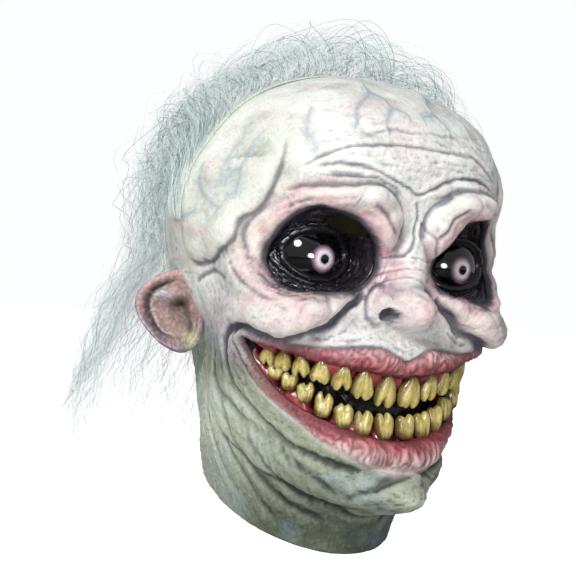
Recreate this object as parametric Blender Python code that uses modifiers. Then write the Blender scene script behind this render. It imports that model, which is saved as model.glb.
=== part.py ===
"""Full-head ghoul mask: a slush-cast latex skin with glazed eyes, set teeth, cast ears and a fall of hair.

Frame: metres, +Z up, the face looks along -Y. The origin is on the cut face of the neck rim, at its front,
in the middle of the wall and on the mask's middle plane. The shapes below are drawn in millimetres about
the head's upright axis, and moved to that origin as they become objects. The wearer's head goes in from
below.
"""

import math

import bmesh
import bpy
import numpy as np
from mathutils import Matrix, Vector
from mathutils.bvhtree import BVHTree

MM = 0.001

# ---- driving dimensions, all in millimetres ----

SKIN_THICKNESS = 3.0
GAP = 0.3

# Plain sections of the head, from the neck up: height, half width, front reach, back reach.
SECTION_HEIGHTS = (-50, -12, 5, 20, 45, 70, 100, 140, 170, 196)
SECTION_WIDTHS = (62, 62, 64, 68, 73, 81, 90, 96, 101, 102)
SECTION_FRONTS = (68, 73, 88, 104, 113, 115, 113, 106, 104, 106)
SECTION_BACKS = (70, 70, 68, 65, 62, 67, 84, 106, 115, 116)
SKULL_TOP = 274.0
DOME_POWER = 2.15
DOME_LEAN = 24.0  # how far the crown leans forward of the neck
FACE_SQUARENESS = 0.55  # how much fuller than an ellipse the face's sections are

# The neck is cut on a slant, lower under the chin than at the nape.
RIM_SLOPE = 0.42
RIM_HEIGHT = -4.0
ORIGIN_Y = -66.3
ORIGIN = (0.0, ORIGIN_Y, RIM_HEIGHT + RIM_SLOPE * ORIGIN_Y)

# The grin: the corners, and the heights of both edges at the middle.
MOUTH_HALF_WIDTH = 83.0
MOUTH_TOP_MIDDLE = 88.0
MOUTH_BOTTOM_MIDDLE = 47.5
MOUTH_CORNER = 101.0

# Eye sockets, mirrored.
SOCKET_CENTRE = (49.0, 161.0)
SOCKET_HALF_SIZE = (30.0, 26.5)
SOCKET_SLANT = 7.0
EYE_CENTRE = (49.0, -62.6, 157.0)
EYE_RADIUS = 26.0
EYE_WALL = 2.0
EYE_CAP = 16.9  # the eye is cut off this far in front of its centre
CUP_THICKNESS = 1.4
CUP_SAG = 3.4
LID_OPENING = (20.8, 14.2)
LID_SPREAD = 0.18
LID_RISE = 2.0
LID_CLEARANCE = 0.9
VIEW_SLOT_CENTRE = (36.0, 179.0)
VIEW_SLOT_HALF_SIZE = (14.0, 4.2)
VIEW_SLOT_TILT = math.radians(14)

# Each tooth, from the middle outwards: azimuth in degrees, width, height.
UPPER_TEETH = (
    (4.5, 14.6, 19.5),
    (12.5, 14.0, 18.0),
    (19.6, 12.6, 15.5),
    (26.5, 12.0, 14.0),
    (33.2, 11.2, 12.5),
    (39.6, 10.0, 10.5),
    (45.4, 8.6, 8.6),
)
LOWER_TEETH = (
    (4.0, 13.0, 15.5),
    (11.3, 12.4, 15.0),
    (18.0, 12.0, 15.0),
    (24.6, 11.6, 14.0),
    (31.0, 10.8, 12.0),
    (36.8, 9.6, 9.5),
    (42.0, 8.0, 6.5),
)
TOOTH_FRONT = 2.0  # how far below the plain face surface a tooth's face lies
TOOTH_DEPTH = 6.0
GUM_THICKNESS = 3.0
GUM_AZIMUTH = math.radians(45)
LINING_THICKNESS = 1.5
LINING_AZIMUTH = math.radians(61)
LINING_DEPTH = 17.0

# Ears: centre of the blade, half sizes across, through and up, and how it stands off the head.
EAR_CENTRE = (-103.0, 27.0, 112.0)
EAR_HALF_SIZE = (22.0, 6.5, 29.0)
EAR_FLARE = math.radians(48)
EAR_LEAN = math.radians(12)

# The hair runs from a sewn band over the crown, back over the head, and hangs.
BAND_WIDTH = 9.0
BAND_THICKNESS = 1.2
BAND_Y = -2.0
BAND_TILT = math.radians(9)
BAND_BOTTOM = 150.0
HAIR_CENTRE = (4.0, 166.0)  # y and z of the axis the locks swing round
HAIR_HALF_WIDTH = 121.0
HAIR_BACK = 132.0
HAIR_UP = 150.0
HAIR_SPREAD = math.radians(76)
HAIR_HEM = 6.0
HAIR_SIDE_LIFT = 52.0  # how much shorter the locks by the ears are
HAIR_FLARE = 34.0
HAIR_THICKNESS = 6.0
HAIR_LOCKS = ("right_side", "right_back", "right_nape", "back", "left_nape", "left_back", "left_side")


# ---- curves and the head's surface ----


def spline(knots, values, x):
    """Natural cubic spline through (knots, values), read at x."""
    knots, values = np.asarray(knots, float), np.asarray(values, float)
    n, h = len(knots), np.diff(knots)
    matrix, right = np.eye(n), np.zeros(n)
    for i in range(1, n - 1):
        matrix[i, i - 1 : i + 2] = h[i - 1], 2 * (h[i - 1] + h[i]), h[i]
        right[i] = 3 * ((values[i + 1] - values[i]) / h[i] - (values[i] - values[i - 1]) / h[i - 1])
    c = np.linalg.solve(matrix, right)
    b = np.diff(values) / h - h * (2 * c[:-1] + c[1:]) / 3
    d = np.diff(c) / (3 * h)
    x = np.clip(x, knots[0], knots[-1])
    i = np.clip(np.searchsorted(knots, x) - 1, 0, n - 2)
    t = x - knots[i]
    return values[i] + b[i] * t + c[i] * t * t + d[i] * t**3


def ease(start, end, x):
    """0 before start, 1 after end, smooth between."""
    t = np.clip((x - start) / (end - start), 0, 1)
    return t * t * (3 - 2 * t)


def egg(azimuth, z, width, front, back, lean):
    """A point on a section with those reaches. Azimuth 0 is the face and grows towards +X."""
    s, c = np.sin(azimuth), np.cos(azimuth)
    fullness = FACE_SQUARENESS * ease(-5, 50, z) * np.sqrt(np.clip(c, 0, 1))
    power = 2 + np.where(c > 0, fullness, 0)
    depth = np.maximum(np.where(c > 0, front, back), 1e-6)
    radius = (np.abs(s / np.maximum(width, 1e-6)) ** power + np.abs(c / depth) ** power) ** (-1 / power)
    return np.stack([radius * s, -radius * c - lean, z + 0 * radius], -1)


def dome(z, base, top):
    """Shrinks the sections to nothing between base and top."""
    t = np.clip((z - base) / (top - base), 0, 1)
    return np.clip(1 - t**DOME_POWER, 0, 1) ** (1 / DOME_POWER)


def head_point(azimuth, z, outwards=0.0):
    """Points of the plain head, in millimetres, moved outwards level with the ground."""
    azimuth, z = np.broadcast_arrays(np.asarray(azimuth, float), np.asarray(z, float))
    low = np.minimum(z, SECTION_HEIGHTS[-1])
    shrink = dome(z, SECTION_HEIGHTS[-1], SKULL_TOP)
    width = spline(SECTION_HEIGHTS, SECTION_WIDTHS, low) * shrink + outwards
    front = spline(SECTION_HEIGHTS, SECTION_FRONTS, low) * shrink + outwards
    back = spline(SECTION_HEIGHTS, SECTION_BACKS, low) * shrink + outwards
    return egg(azimuth, z, width, front, back, DOME_LEAN * ease(150, 275, z))


def mouth_top(x):
    """Height of the upper lip's edge."""
    share = np.abs(x) / MOUTH_HALF_WIDTH
    return MOUTH_TOP_MIDDLE + (MOUTH_CORNER - MOUTH_TOP_MIDDLE) * share**1.1


def mouth_bottom(x):
    """Height of the lower lip's edge."""
    share = np.abs(x) / MOUTH_HALF_WIDTH
    return MOUTH_BOTTOM_MIDDLE + (MOUTH_CORNER - MOUTH_BOTTOM_MIDDLE) * share**2.7


# Soft forms of the face: centre, reach and push, in millimetres. Those off the middle are mirrored.
FORMS = (
    ((0, -108, 127), (20, 40, 20), (0, -20, 0)),  # nose tip
    ((14, -106, 122), (12, 40, 10), (3, -10, -1)),  # nose wing
    ((0, -106, 152), (12, 40, 26), (0, -9, 0)),  # nose bridge
    ((16, -108, 178), (16, 34, 15), (0, -8, -1)),  # frown lump
    ((44, -102, 199), (36, 34, 15), (0, -7, -2)),  # brow
    ((90, -58, 158), (18, 34, 34), (9, -4, 0)),  # orbit's outer bone
    ((74, -74, 119), (36, 44, 28), (13, -17, 0)),  # cheek
    ((94, -8, 186), (40, 56, 48), (9, 0, 0)),  # temple lobe
    ((0, -113, 101), (54, 34, 14), (0, -6, 1)),  # upper lip
    ((0, -112, 37), (60, 40, 16), (0, -12, 0)),  # lower lip
    ((3, -102, 11), (36, 40, 23), (2, -12, -2)),  # chin
)


def sculpted(points):
    """Points of the head with the soft forms pushed out."""
    moved = points.copy()
    for centre, reach, push in FORMS:
        for side in (1, -1) if centre[0] else (1,):
            mirror = np.array((side, 1, 1))
            distance = (points - mirror * centre) / reach
            weight = np.clip(1 - (distance**2).sum(-1), 0, 1) ** 2
            moved += weight[..., None] * mirror * push
    return moved


# ---- building in Blender ----


def clear_scene():
    for old in list(bpy.data.objects):
        bpy.data.objects.remove(old)


def collection(name):
    made = bpy.data.collections.new(name)
    bpy.context.scene.collection.children.link(made)
    return made


def material(name, colour, roughness, metallic=0.0):
    made = bpy.data.materials.new(name)
    made.use_nodes = True
    shader = made.node_tree.nodes["Principled BSDF"]
    shader.inputs["Base Color"].default_value = (*colour, 1)
    shader.inputs["Roughness"].default_value = roughness
    shader.inputs["Metallic"].default_value = metallic
    return made


def object_from(name, bm, finish, target):
    """A named object in the target collection, from a bmesh in millimetres about the head's axis."""
    bmesh.ops.translate(bm, vec=-Vector(ORIGIN), verts=bm.verts)
    bmesh.ops.scale(bm, vec=(MM, MM, MM), verts=bm.verts)
    bmesh.ops.recalc_face_normals(bm, faces=bm.faces)
    mesh = bpy.data.meshes.new(name)
    bm.to_mesh(mesh)
    bm.free()
    mesh.shade_smooth()
    if finish:
        mesh.materials.append(finish)
    made = bpy.data.objects.new(name, mesh)
    target.objects.link(made)
    return made


def thicken(obj, thickness, offset=0):
    """A wall centred on the sheet, or with offset -1 wholly on its inner side."""
    wall = obj.modifiers.new("wall", "SOLIDIFY")
    wall.thickness = thickness * MM
    wall.offset = offset


def cut(obj, cutter, operation="DIFFERENCE"):
    change = obj.modifiers.new(cutter.name, "BOOLEAN")
    change.operation = operation
    change.object = cutter


def sheet(columns, rows, place, closed=False):
    """A grid whose corner (i, j), from 0 to 1 each way, moves to place(i, j). Closed joins its two ends."""
    bm = bmesh.new()
    bmesh.ops.create_grid(bm, x_segments=columns, y_segments=rows, size=0.5)
    for vert in bm.verts:
        vert.co = place(vert.co.x + 0.5, vert.co.y + 0.5)
    if closed:
        bmesh.ops.remove_doubles(bm, verts=bm.verts, dist=0.001)
    return bm


def prism_along_y(name, outline, front, back, target):
    """A cutter: an (x, z) outline drawn as a filled curve and carried from y = front to y = back."""
    bm = bmesh.new()
    verts = [bm.verts.new((x, back, z)) for x, z in outline]
    face = bm.faces.new(verts)
    grown = bmesh.ops.extrude_face_region(bm, geom=[face])
    moved = [v for v in grown["geom"] if isinstance(v, bmesh.types.BMVert)]
    bmesh.ops.translate(bm, vec=(0, front - back, 0), verts=moved)
    return helper(name, bm, target)


def head_shell(offset=0.0, segments=48, rings=32):
    """The sculpted head as a closed surface, moved along its normals. Columns are closer over the face."""
    bm = bmesh.new()
    bmesh.ops.create_uvsphere(bm, u_segments=segments, v_segments=rings, radius=1)
    bottom, shoulder = SECTION_HEIGHTS[0], SECTION_HEIGHTS[-1]
    for vert in bm.verts:
        share = math.asin(max(-1.0, min(1.0, vert.co.z))) / math.pi + 0.5
        turn = math.atan2(vert.co.x, -vert.co.y) / math.pi
        azimuth = math.copysign(abs(turn) ** 1.4, turn) * math.pi
        if share < 0.75:
            z = bottom + (shoulder - bottom) * share / 0.75
        else:
            z = shoulder + (SKULL_TOP - shoulder) * math.sin((share - 0.75) / 0.25 * math.pi / 2)
        vert.co = Vector(sculpted(head_point(azimuth, z)[None])[0])
        if share < 0.001:
            vert.co = Vector((0, 0, bottom))
    bmesh.ops.recalc_face_normals(bm, faces=bm.faces)
    bm.normal_update()
    moves = [vert.normal * offset for vert in bm.verts]
    for vert, move in zip(bm.verts, moves):
        vert.co += move
    return bm


def depth_tree(offset):
    """The head's surface moved along its normals, for rays to be cast at."""
    bm = head_shell(offset)
    tree = BVHTree.FromBMesh(bm)
    bm.free()
    return tree


def behind_face(tree, x, z):
    """The point of the tree's surface straight in front of (x, z)."""
    return tree.ray_cast(Vector((x, 0, z)), Vector((0, -1, 0)))[0]


def around_face(tree, azimuth, z):
    """The point of the tree's surface at that azimuth and height."""
    return tree.ray_cast(Vector((0, 0, z)), Vector((math.sin(azimuth), -math.cos(azimuth), 0)))[0]


def helper(name, bm, target):
    """A closed shape that only trims others."""
    made = object_from(name, bm, None, target)
    made.hide_render = True
    made.display_type = "WIRE"
    return made


# ---- the skin and what cuts it ----


def neck_cutter(target):
    """A block whose top face is the slanted plane of the neck opening."""
    bm = bmesh.new()
    bmesh.ops.create_cube(bm, size=1)
    bmesh.ops.scale(bm, vec=(300, 300, 120), verts=bm.verts)
    bmesh.ops.translate(bm, vec=(0, 0, -60), verts=bm.verts)
    bmesh.ops.rotate(bm, matrix=Matrix.Rotation(math.atan(RIM_SLOPE), 3, "X"), verts=bm.verts)
    bmesh.ops.translate(bm, vec=(0, 0, RIM_HEIGHT), verts=bm.verts)
    return helper("cutter_neck", bm, target)


def socket_outline(side, steps=28, grow=0.0):
    """A slanted oval, higher at its outer corner, as (x, z)."""
    points = []
    for k in range(steps):
        t = 2 * math.pi * k / steps
        x = SOCKET_CENTRE[0] + (SOCKET_HALF_SIZE[0] + grow) * math.cos(t) + SOCKET_SLANT * 0.4 * math.sin(t)
        z = SOCKET_CENTRE[1] + (SOCKET_HALF_SIZE[1] + grow) * math.sin(t) + SOCKET_SLANT * 0.4 * math.cos(t)
        points.append((side * x, z))
    return points


def mouth_outline(steps=14):
    """The grin's outline as (x, z): along the lower lip, then back along the upper."""
    across = [MOUTH_HALF_WIDTH * math.sin(math.pi / 2 * k / steps) for k in range(-steps, steps + 1)]
    lower = [(x, float(mouth_bottom(x))) for x in across]
    upper = [(x, float(mouth_top(x))) for x in reversed(across[1:-1])]
    return lower + upper


def nostril_cutter(side, target):
    bm = bmesh.new()
    bmesh.ops.create_uvsphere(bm, u_segments=12, v_segments=8, radius=1)
    bmesh.ops.scale(bm, vec=(4.2, 16, 3.0), verts=bm.verts)
    bmesh.ops.rotate(bm, matrix=Matrix.Rotation(math.radians(-24), 3, "X"), verts=bm.verts)
    bmesh.ops.translate(bm, vec=(side * 9.5, -119, 121), verts=bm.verts)
    return helper(f"cutter_nostril_{'right' if side < 0 else 'left'}", bm, target)


def build_skin(finish, parts, cutters):
    skin = object_from("head_skin", head_shell(), finish, parts)
    thicken(skin, SKIN_THICKNESS, offset=-1)
    cut(skin, neck_cutter(cutters))
    cut(skin, prism_along_y("cutter_mouth", mouth_outline(), -170, -50, cutters))
    for side, name in ((-1, "right"), (1, "left")):
        cut(skin, prism_along_y(f"cutter_socket_{name}", socket_outline(side), -170, -45, cutters))
        cut(skin, nostril_cutter(side, cutters))
    return skin


# ---- eyes ----


def lid_point(side, t, spread, reach):
    """Where the lids' edge at angle t, its opening grown by spread, meets a ball round the eye's centre."""
    x = LID_OPENING[0] * math.cos(t) * spread
    z = LID_OPENING[1] * math.sin(t) * spread + LID_RISE
    out = math.sqrt(max(reach**2 - x * x - z * z, 36.0))
    direction = Vector((side * x, -out, z)).normalized()
    return Vector((side * EYE_CENTRE[0], EYE_CENTRE[1], EYE_CENTRE[2])) + direction * reach


def build_eye_cup(side, name, finish, parts, cutters):
    """The black cup behind a socket: lids that wrap the eye, then a wall out to the skin's inner face."""
    steps = 32
    reach = EYE_RADIUS + LID_CLEARANCE + CUP_THICKNESS / 2
    outline = socket_outline(side, steps, grow=3.5)
    tree = depth_tree(-SKIN_THICKNESS - GAP - CUP_THICKNESS - 1.0)
    rims = [behind_face(tree, x, z) for x, z in outline]

    def place(i, j):
        k = round(i * steps) % steps
        lid = lid_point(side, 2 * math.pi * k / steps, 1 + LID_SPREAD * min(j / 0.4, 1), reach)
        share = max(j - 0.4, 0) / 0.6
        return lid.lerp(rims[k], share) + Vector((0, CUP_SAG * math.sin(math.pi * share), 0))

    cup = object_from(f"{name}_eye_cup", sheet(steps, 5, place, closed=True), finish, parts)
    thicken(cup, CUP_THICKNESS)
    cut(cup, view_slot_cutter(side, name, cutters))
    return cup


def view_slot_cutter(side, name, cutters):
    """The slit above the eye that the wearer looks through."""
    outline = []
    for k in range(16):
        t = 2 * math.pi * k / 16
        x = VIEW_SLOT_HALF_SIZE[0] * math.cos(t)
        z = VIEW_SLOT_HALF_SIZE[1] * math.sin(t)
        turned_x = x * math.cos(VIEW_SLOT_TILT) - z * math.sin(VIEW_SLOT_TILT)
        turned_z = x * math.sin(VIEW_SLOT_TILT) + z * math.cos(VIEW_SLOT_TILT)
        outline.append((side * (VIEW_SLOT_CENTRE[0] + turned_x), VIEW_SLOT_CENTRE[1] + turned_z))
    return prism_along_y(f"cutter_slot_{name}", outline, -150, -40, cutters)


def build_eye(side, name, finish, parts):
    """A glossy dome, open at the back."""
    bm = bmesh.new()
    bmesh.ops.create_uvsphere(bm, u_segments=20, v_segments=14, radius=EYE_RADIUS)
    bmesh.ops.rotate(bm, matrix=Matrix.Rotation(math.radians(90), 3, "X"), verts=bm.verts)
    everything = bm.verts[:] + bm.edges[:] + bm.faces[:]
    cut = (0, -EYE_CAP, 0)
    bmesh.ops.bisect_plane(bm, geom=everything, plane_co=cut, plane_no=(0, 1, 0), clear_outer=True)
    bmesh.ops.translate(bm, vec=(side * EYE_CENTRE[0], EYE_CENTRE[1], EYE_CENTRE[2]), verts=bm.verts)
    eye = object_from(f"{name}_eye", bm, finish, parts)
    thicken(eye, EYE_WALL, offset=-1)


# ---- mouth ----


def build_gum(name, edge, root, tip, finish, parts):
    """A band along one edge of the mouth, glued under the lip at its root, with its tip behind the teeth."""
    tree = depth_tree(-SKIN_THICKNESS - GAP - GUM_THICKNESS / 2 - 0.5)
    behind_teeth = TOOTH_FRONT + TOOTH_DEPTH + GAP + GUM_THICKNESS / 2

    def place(i, j):
        azimuth = (2 * i - 1) * GUM_AZIMUTH
        x = float(head_point(azimuth, 75.0)[0])
        z = edge(x) + root + (tip - root) * j
        lip = around_face(tree, azimuth, z)
        teeth = Vector(head_point(azimuth, z, -behind_teeth))
        return lip.lerp(teeth, min(j * 2, 1))

    gum = object_from(name, sheet(26, 4, place), finish, parts)
    thicken(gum, GUM_THICKNESS)


def build_lining(finish, parts):
    """The black pan that closes the mouth behind the teeth. Its edge is glued inside the skin."""
    tree = depth_tree(-SKIN_THICKNESS - GAP - LINING_THICKNESS)

    def place(i, j):
        azimuth = (2 * i - 1) * LINING_AZIMUTH
        x = float(head_point(azimuth, 75.0)[0])
        low, high = mouth_bottom(x) - 15, mouth_top(x) + 14
        border = max(abs(2 * i - 1), abs(2 * j - 1)) ** 6
        edge = around_face(tree, azimuth, low + (high - low) * j)
        return edge - Vector((edge.x, edge.y, 0)).normalized() * LINING_DEPTH * (1 - border)

    lining = object_from("mouth_lining", sheet(22, 8, place), finish, parts)
    thicken(lining, LINING_THICKNESS)


def build_tooth(name, azimuth, z, width, height, finish, parts):
    """A squared-off egg that stands on the arch, narrower at its root."""
    bm = bmesh.new()
    bmesh.ops.create_uvsphere(bm, u_segments=8, v_segments=6, radius=1)
    for vert in bm.verts:
        x, y, z_local = (math.copysign(abs(c) ** 0.62, c) if c else 0.0 for c in vert.co)
        taper = 1 + 0.12 * z_local
        vert.co = (x * width / 2 * taper, y * TOOTH_DEPTH / 2, z_local * height / 2)
    here = Vector(head_point(azimuth, z, -TOOTH_FRONT - TOOTH_DEPTH / 2))
    ahead = Vector(head_point(azimuth + 0.02, z)) - Vector(head_point(azimuth - 0.02, z))
    turn = math.atan2(ahead.y, ahead.x)
    bmesh.ops.rotate(bm, matrix=Matrix.Rotation(turn, 3, "Z"), verts=bm.verts)
    bmesh.ops.translate(bm, vec=here, verts=bm.verts)
    return object_from(name, bm, finish, parts)


def build_teeth(finish, parts):
    for row, teeth in (("upper", UPPER_TEETH), ("lower", LOWER_TEETH)):
        for number, (degrees, width, height) in enumerate(teeth, 1):
            for side, name in ((-1, "right"), (1, "left")):
                azimuth = side * math.radians(degrees)
                x = float(head_point(azimuth, 75.0)[0])
                if row == "upper":
                    z = float(mouth_top(x)) - height / 2 - 1.0
                else:
                    z = float(mouth_bottom(x)) + height / 2 + 1.0
                build_tooth(f"{row}_tooth_{name}_{number}", azimuth, z, width, height, finish, parts)


# ---- ears ----


def build_ear(side, name, finish, parts):
    """A flattened egg with a hollow and a rolled rim, cut to sit on the skin."""
    bm = bmesh.new()
    bmesh.ops.create_uvsphere(bm, u_segments=20, v_segments=12, radius=1)
    for vert in bm.verts:
        rim = math.hypot(vert.co.x, vert.co.z)
        hollow = 6.0 * max(0.0, 1 - (rim / 0.75) ** 2) if vert.co.y < 0 else 0.0
        across = vert.co.x * EAR_HALF_SIZE[0] * (1 + 0.22 * vert.co.z)
        vert.co = (across, vert.co.y * EAR_HALF_SIZE[1] + hollow, vert.co.z * EAR_HALF_SIZE[2])
    bmesh.ops.rotate(bm, matrix=Matrix.Rotation(-EAR_LEAN, 3, "Y"), verts=bm.verts)
    bmesh.ops.rotate(bm, matrix=Matrix.Rotation(-EAR_FLARE, 3, "Z"), verts=bm.verts)
    bmesh.ops.translate(bm, vec=EAR_CENTRE, verts=bm.verts)
    bmesh.ops.scale(bm, vec=(-side, 1, 1), verts=bm.verts)
    ear = object_from(f"{name}_ear", bm, finish, parts)
    cut(ear, bpy.data.objects["cutter_head"])


# ---- hair ----


def hair_point(roots, across, fall):
    """A point of the hair: across is -1 at the right ear and 1 at the left, fall is 0 at the root."""
    turn = across * HAIR_SPREAD
    reach = math.cos(turn) ** 0.6
    swing = math.radians(-14 + 122 * min(fall / 0.6, 1))
    hang = max(fall - 0.6, 0) / 0.4
    y = HAIR_CENTRE[0] + reach * HAIR_BACK * math.sin(swing) + HAIR_FLARE * hang
    z = HAIR_CENTRE[1] + reach * HAIR_UP * math.cos(swing)
    hem = HAIR_HEM + HAIR_SIDE_LIFT * across**2
    free = Vector((HAIR_HALF_WIDTH * math.sin(turn), y, z + (hem - z) * hang))
    origin = Vector((0, BAND_Y, BAND_BOTTOM))
    out = Vector((math.sin(turn), -math.cos(turn) * math.tan(BAND_TILT), math.cos(turn)))
    root = roots.ray_cast(origin, out)[0]
    return root.lerp(free, float(ease(-0.02, 0.2, fall)))


def build_hair(finish, parts):
    """Locks side by side from ear to ear, each drawn in to a point."""
    step = 2 / len(HAIR_LOCKS)
    roots = depth_tree(GAP * 2 + BAND_THICKNESS + HAIR_THICKNESS / 2 + 0.5)
    for k, name in enumerate(HAIR_LOCKS):
        middle = -1 + (k + 0.5) * step

        def place(i, j):
            width = step * 0.94 * (1 - 0.8 * float(ease(0.55, 1.05, j)))
            return hair_point(roots, middle + (i - 0.5) * width, j)

        lock = object_from(f"hair_{name}", sheet(4, 16, place), finish, parts)
        thicken(lock, HAIR_THICKNESS)


def build_band(finish, parts, cutters):
    """The sewn strip that carries the hair: a slice of a shell round the skull."""
    bm = bmesh.new()
    bmesh.ops.create_cube(bm, size=1)
    bmesh.ops.scale(bm, vec=(300, BAND_WIDTH, 200), verts=bm.verts)
    bmesh.ops.translate(bm, vec=(0, 0, 100), verts=bm.verts)
    bmesh.ops.rotate(bm, matrix=Matrix.Rotation(BAND_TILT, 3, "X"), verts=bm.verts)
    bmesh.ops.translate(bm, vec=(0, BAND_Y, BAND_BOTTOM), verts=bm.verts)
    band = object_from("hair_weft_band", bm, finish, parts)
    outer = helper("cutter_band_outer", head_shell(GAP + BAND_THICKNESS), cutters)
    cut(band, outer, "INTERSECT")
    cut(band, bpy.data.objects["cutter_head"])


def main():
    clear_scene()
    parts, cutters = collection("ghoul_mask"), collection("cutters")
    latex = material("latex_skin", (0.80, 0.79, 0.70), 0.6)
    black = material("socket_black", (0.02, 0.02, 0.025), 0.35)
    glaze = material("eye_glaze", (0.03, 0.03, 0.035), 0.08)
    pink = material("gum_pink", (0.55, 0.20, 0.20), 0.35)
    enamel = material("tooth_enamel", (0.72, 0.62, 0.25), 0.25)
    strands = material("hair_grey", (0.72, 0.76, 0.75), 0.6)
    tape = material("weft_tape", (0.55, 0.58, 0.56), 0.9)
    helper("cutter_head", head_shell(GAP), cutters)
    build_skin(latex, parts, cutters)
    for side, name in ((-1, "right"), (1, "left")):
        build_eye_cup(side, name, black, parts, cutters)
        build_eye(side, name, glaze, parts)
        build_ear(side, name, latex, parts)
    build_gum("upper_gum", mouth_top, 9, -8, pink, parts)
    build_gum("lower_gum", mouth_bottom, -9, 7, pink, parts)
    build_lining(black, parts)
    build_teeth(enamel, parts)
    build_band(tape, parts, cutters)
    build_hair(strands, parts)


main()
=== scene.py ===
"""Looks of a full-head latex ghoul mask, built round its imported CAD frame.

Shapes are worked out in millimetres about the head's upright axis, with +Z up and the face looking along
-Y, and moved to the frame's origin as they become objects. Places on the head are given as (azimuth,
height): the azimuth in degrees, 0 at the nose and growing towards the mask's own left ear. Fields are
worked out on arcs, in millimetres round a head of HEAD_RADIUS, so that widths and distances are true.
"""

import math

import bmesh
import bpy
import numpy as np
from mathutils import Matrix, Vector
from mathutils.bvhtree import BVHTree


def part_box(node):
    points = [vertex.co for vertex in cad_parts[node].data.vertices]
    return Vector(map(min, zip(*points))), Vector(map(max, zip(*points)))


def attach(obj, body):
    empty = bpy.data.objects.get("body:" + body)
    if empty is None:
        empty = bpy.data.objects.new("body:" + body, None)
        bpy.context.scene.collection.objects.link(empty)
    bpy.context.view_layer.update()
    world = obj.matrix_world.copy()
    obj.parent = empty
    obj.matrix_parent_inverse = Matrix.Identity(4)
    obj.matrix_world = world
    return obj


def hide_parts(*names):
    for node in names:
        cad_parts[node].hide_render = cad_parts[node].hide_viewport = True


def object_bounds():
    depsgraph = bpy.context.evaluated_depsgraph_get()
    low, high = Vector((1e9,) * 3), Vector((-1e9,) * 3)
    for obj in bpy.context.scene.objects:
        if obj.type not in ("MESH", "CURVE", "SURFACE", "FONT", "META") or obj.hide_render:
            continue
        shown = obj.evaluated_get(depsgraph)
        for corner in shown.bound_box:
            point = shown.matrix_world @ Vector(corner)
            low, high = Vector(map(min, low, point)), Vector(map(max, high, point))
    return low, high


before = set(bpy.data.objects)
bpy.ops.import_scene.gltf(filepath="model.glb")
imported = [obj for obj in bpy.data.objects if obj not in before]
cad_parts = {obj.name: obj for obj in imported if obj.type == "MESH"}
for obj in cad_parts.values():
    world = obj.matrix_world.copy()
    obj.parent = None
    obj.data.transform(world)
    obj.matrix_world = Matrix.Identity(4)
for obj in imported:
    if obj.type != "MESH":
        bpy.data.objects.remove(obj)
cad_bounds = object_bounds()

MM = 0.001
HEAD_AXIS = np.array((0.0, 66.3, 31.846))  # the upright axis' foot, in millimetres from the frame's origin
HEAD_RADIUS = 108.0
ARC = HEAD_RADIUS * math.pi / 180


# ---- driving dimensions of the head, the same as the CAD model's, in millimetres ----

SECTION_HEIGHTS = (-50, -12, 5, 20, 45, 70, 100, 140, 170, 196)
SECTION_WIDTHS = (62, 62, 64, 68, 73, 81, 90, 96, 101, 102)
SECTION_FRONTS = (68, 73, 88, 104, 113, 115, 113, 106, 104, 106)
SECTION_BACKS = (70, 70, 68, 65, 62, 67, 84, 106, 115, 116)
SHOULDER = 196.0
SKULL_TOP = 274.0
DOME_POWER = 2.15
DOME_LEAN = 24.0
FACE_SQUARENESS = 0.55
RIM_SLOPE = 0.42
RIM_HEIGHT = -4.0
SKIN_THICKNESS = 3.0


# ---- fineness of the sculpted skin ----

FRONT_HALF_WIDTH = 104  # degrees either side of the nose that carry fine columns
FRONT_STEP = 1.05  # millimetres between fine columns and rows
BACK_STEP = 2.6
LEVEL_ABOVE = 40.0  # below this height the rows slant down to the rim


# ---- numbers ----


def spline(knots, values, x):
    """Natural cubic spline through (knots, values), read at x."""
    knots, values = np.asarray(knots, float), np.asarray(values, float)
    n, h = len(knots), np.diff(knots)
    matrix, right = np.eye(n), np.zeros(n)
    for i in range(1, n - 1):
        matrix[i, i - 1 : i + 2] = h[i - 1], 2 * (h[i - 1] + h[i]), h[i]
        right[i] = 3 * ((values[i + 1] - values[i]) / h[i] - (values[i] - values[i - 1]) / h[i - 1])
    c = np.linalg.solve(matrix, right)
    b = np.diff(values) / h - h * (2 * c[:-1] + c[1:]) / 3
    d = np.diff(c) / (3 * h)
    x = np.clip(x, knots[0], knots[-1])
    i = np.clip(np.searchsorted(knots, x) - 1, 0, n - 2)
    t = x - knots[i]
    return values[i] + b[i] * t + c[i] * t * t + d[i] * t**3


def ease(start, end, x):
    """0 before start, 1 after end, smooth between."""
    t = np.clip((x - start) / (end - start), 0, 1)
    return t * t * (3 - 2 * t)


def bell(x, width):
    return np.exp(-((x / width) ** 2))


def mix(a, b, share):
    return a + (b - a) * share


def scatter(ix, iy, iz, seed):
    """A random number from 0 to 1 for each whole-number point."""
    n = (ix * 374761393 + iy * 668265263 + iz * 1274126177 + seed * 974711) & 0xFFFFFFFF
    n = ((n ^ (n >> 13)) * 1103515245) & 0xFFFFFFFF
    n = ((n ^ (n >> 15)) * 668265263) & 0xFFFFFFFF
    return ((n ^ (n >> 16)) & 0xFFFFFF) / 0xFFFFFF


def noise2(x, y, seed=0):
    """Smooth noise from about -1 to 1 over the plane."""
    x, y = np.broadcast_arrays(np.asarray(x, float), np.asarray(y, float))
    ix, iy = np.floor(x).astype(np.int64), np.floor(y).astype(np.int64)
    fx, fy = x - ix, y - iy
    sx, sy = fx**3 * (fx * (6 * fx - 15) + 10), fy**3 * (fy * (6 * fy - 15) + 10)
    corners = []
    for dy in (0, 1):
        for dx in (0, 1):
            turn = scatter(ix + dx, iy + dy, 0 * ix, seed) * 2 * math.pi
            corners.append(np.cos(turn) * (fx - dx) + np.sin(turn) * (fy - dy))
    low, high = mix(corners[0], corners[1], sx), mix(corners[2], corners[3], sx)
    return 1.5 * mix(low, high, sy)


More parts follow.
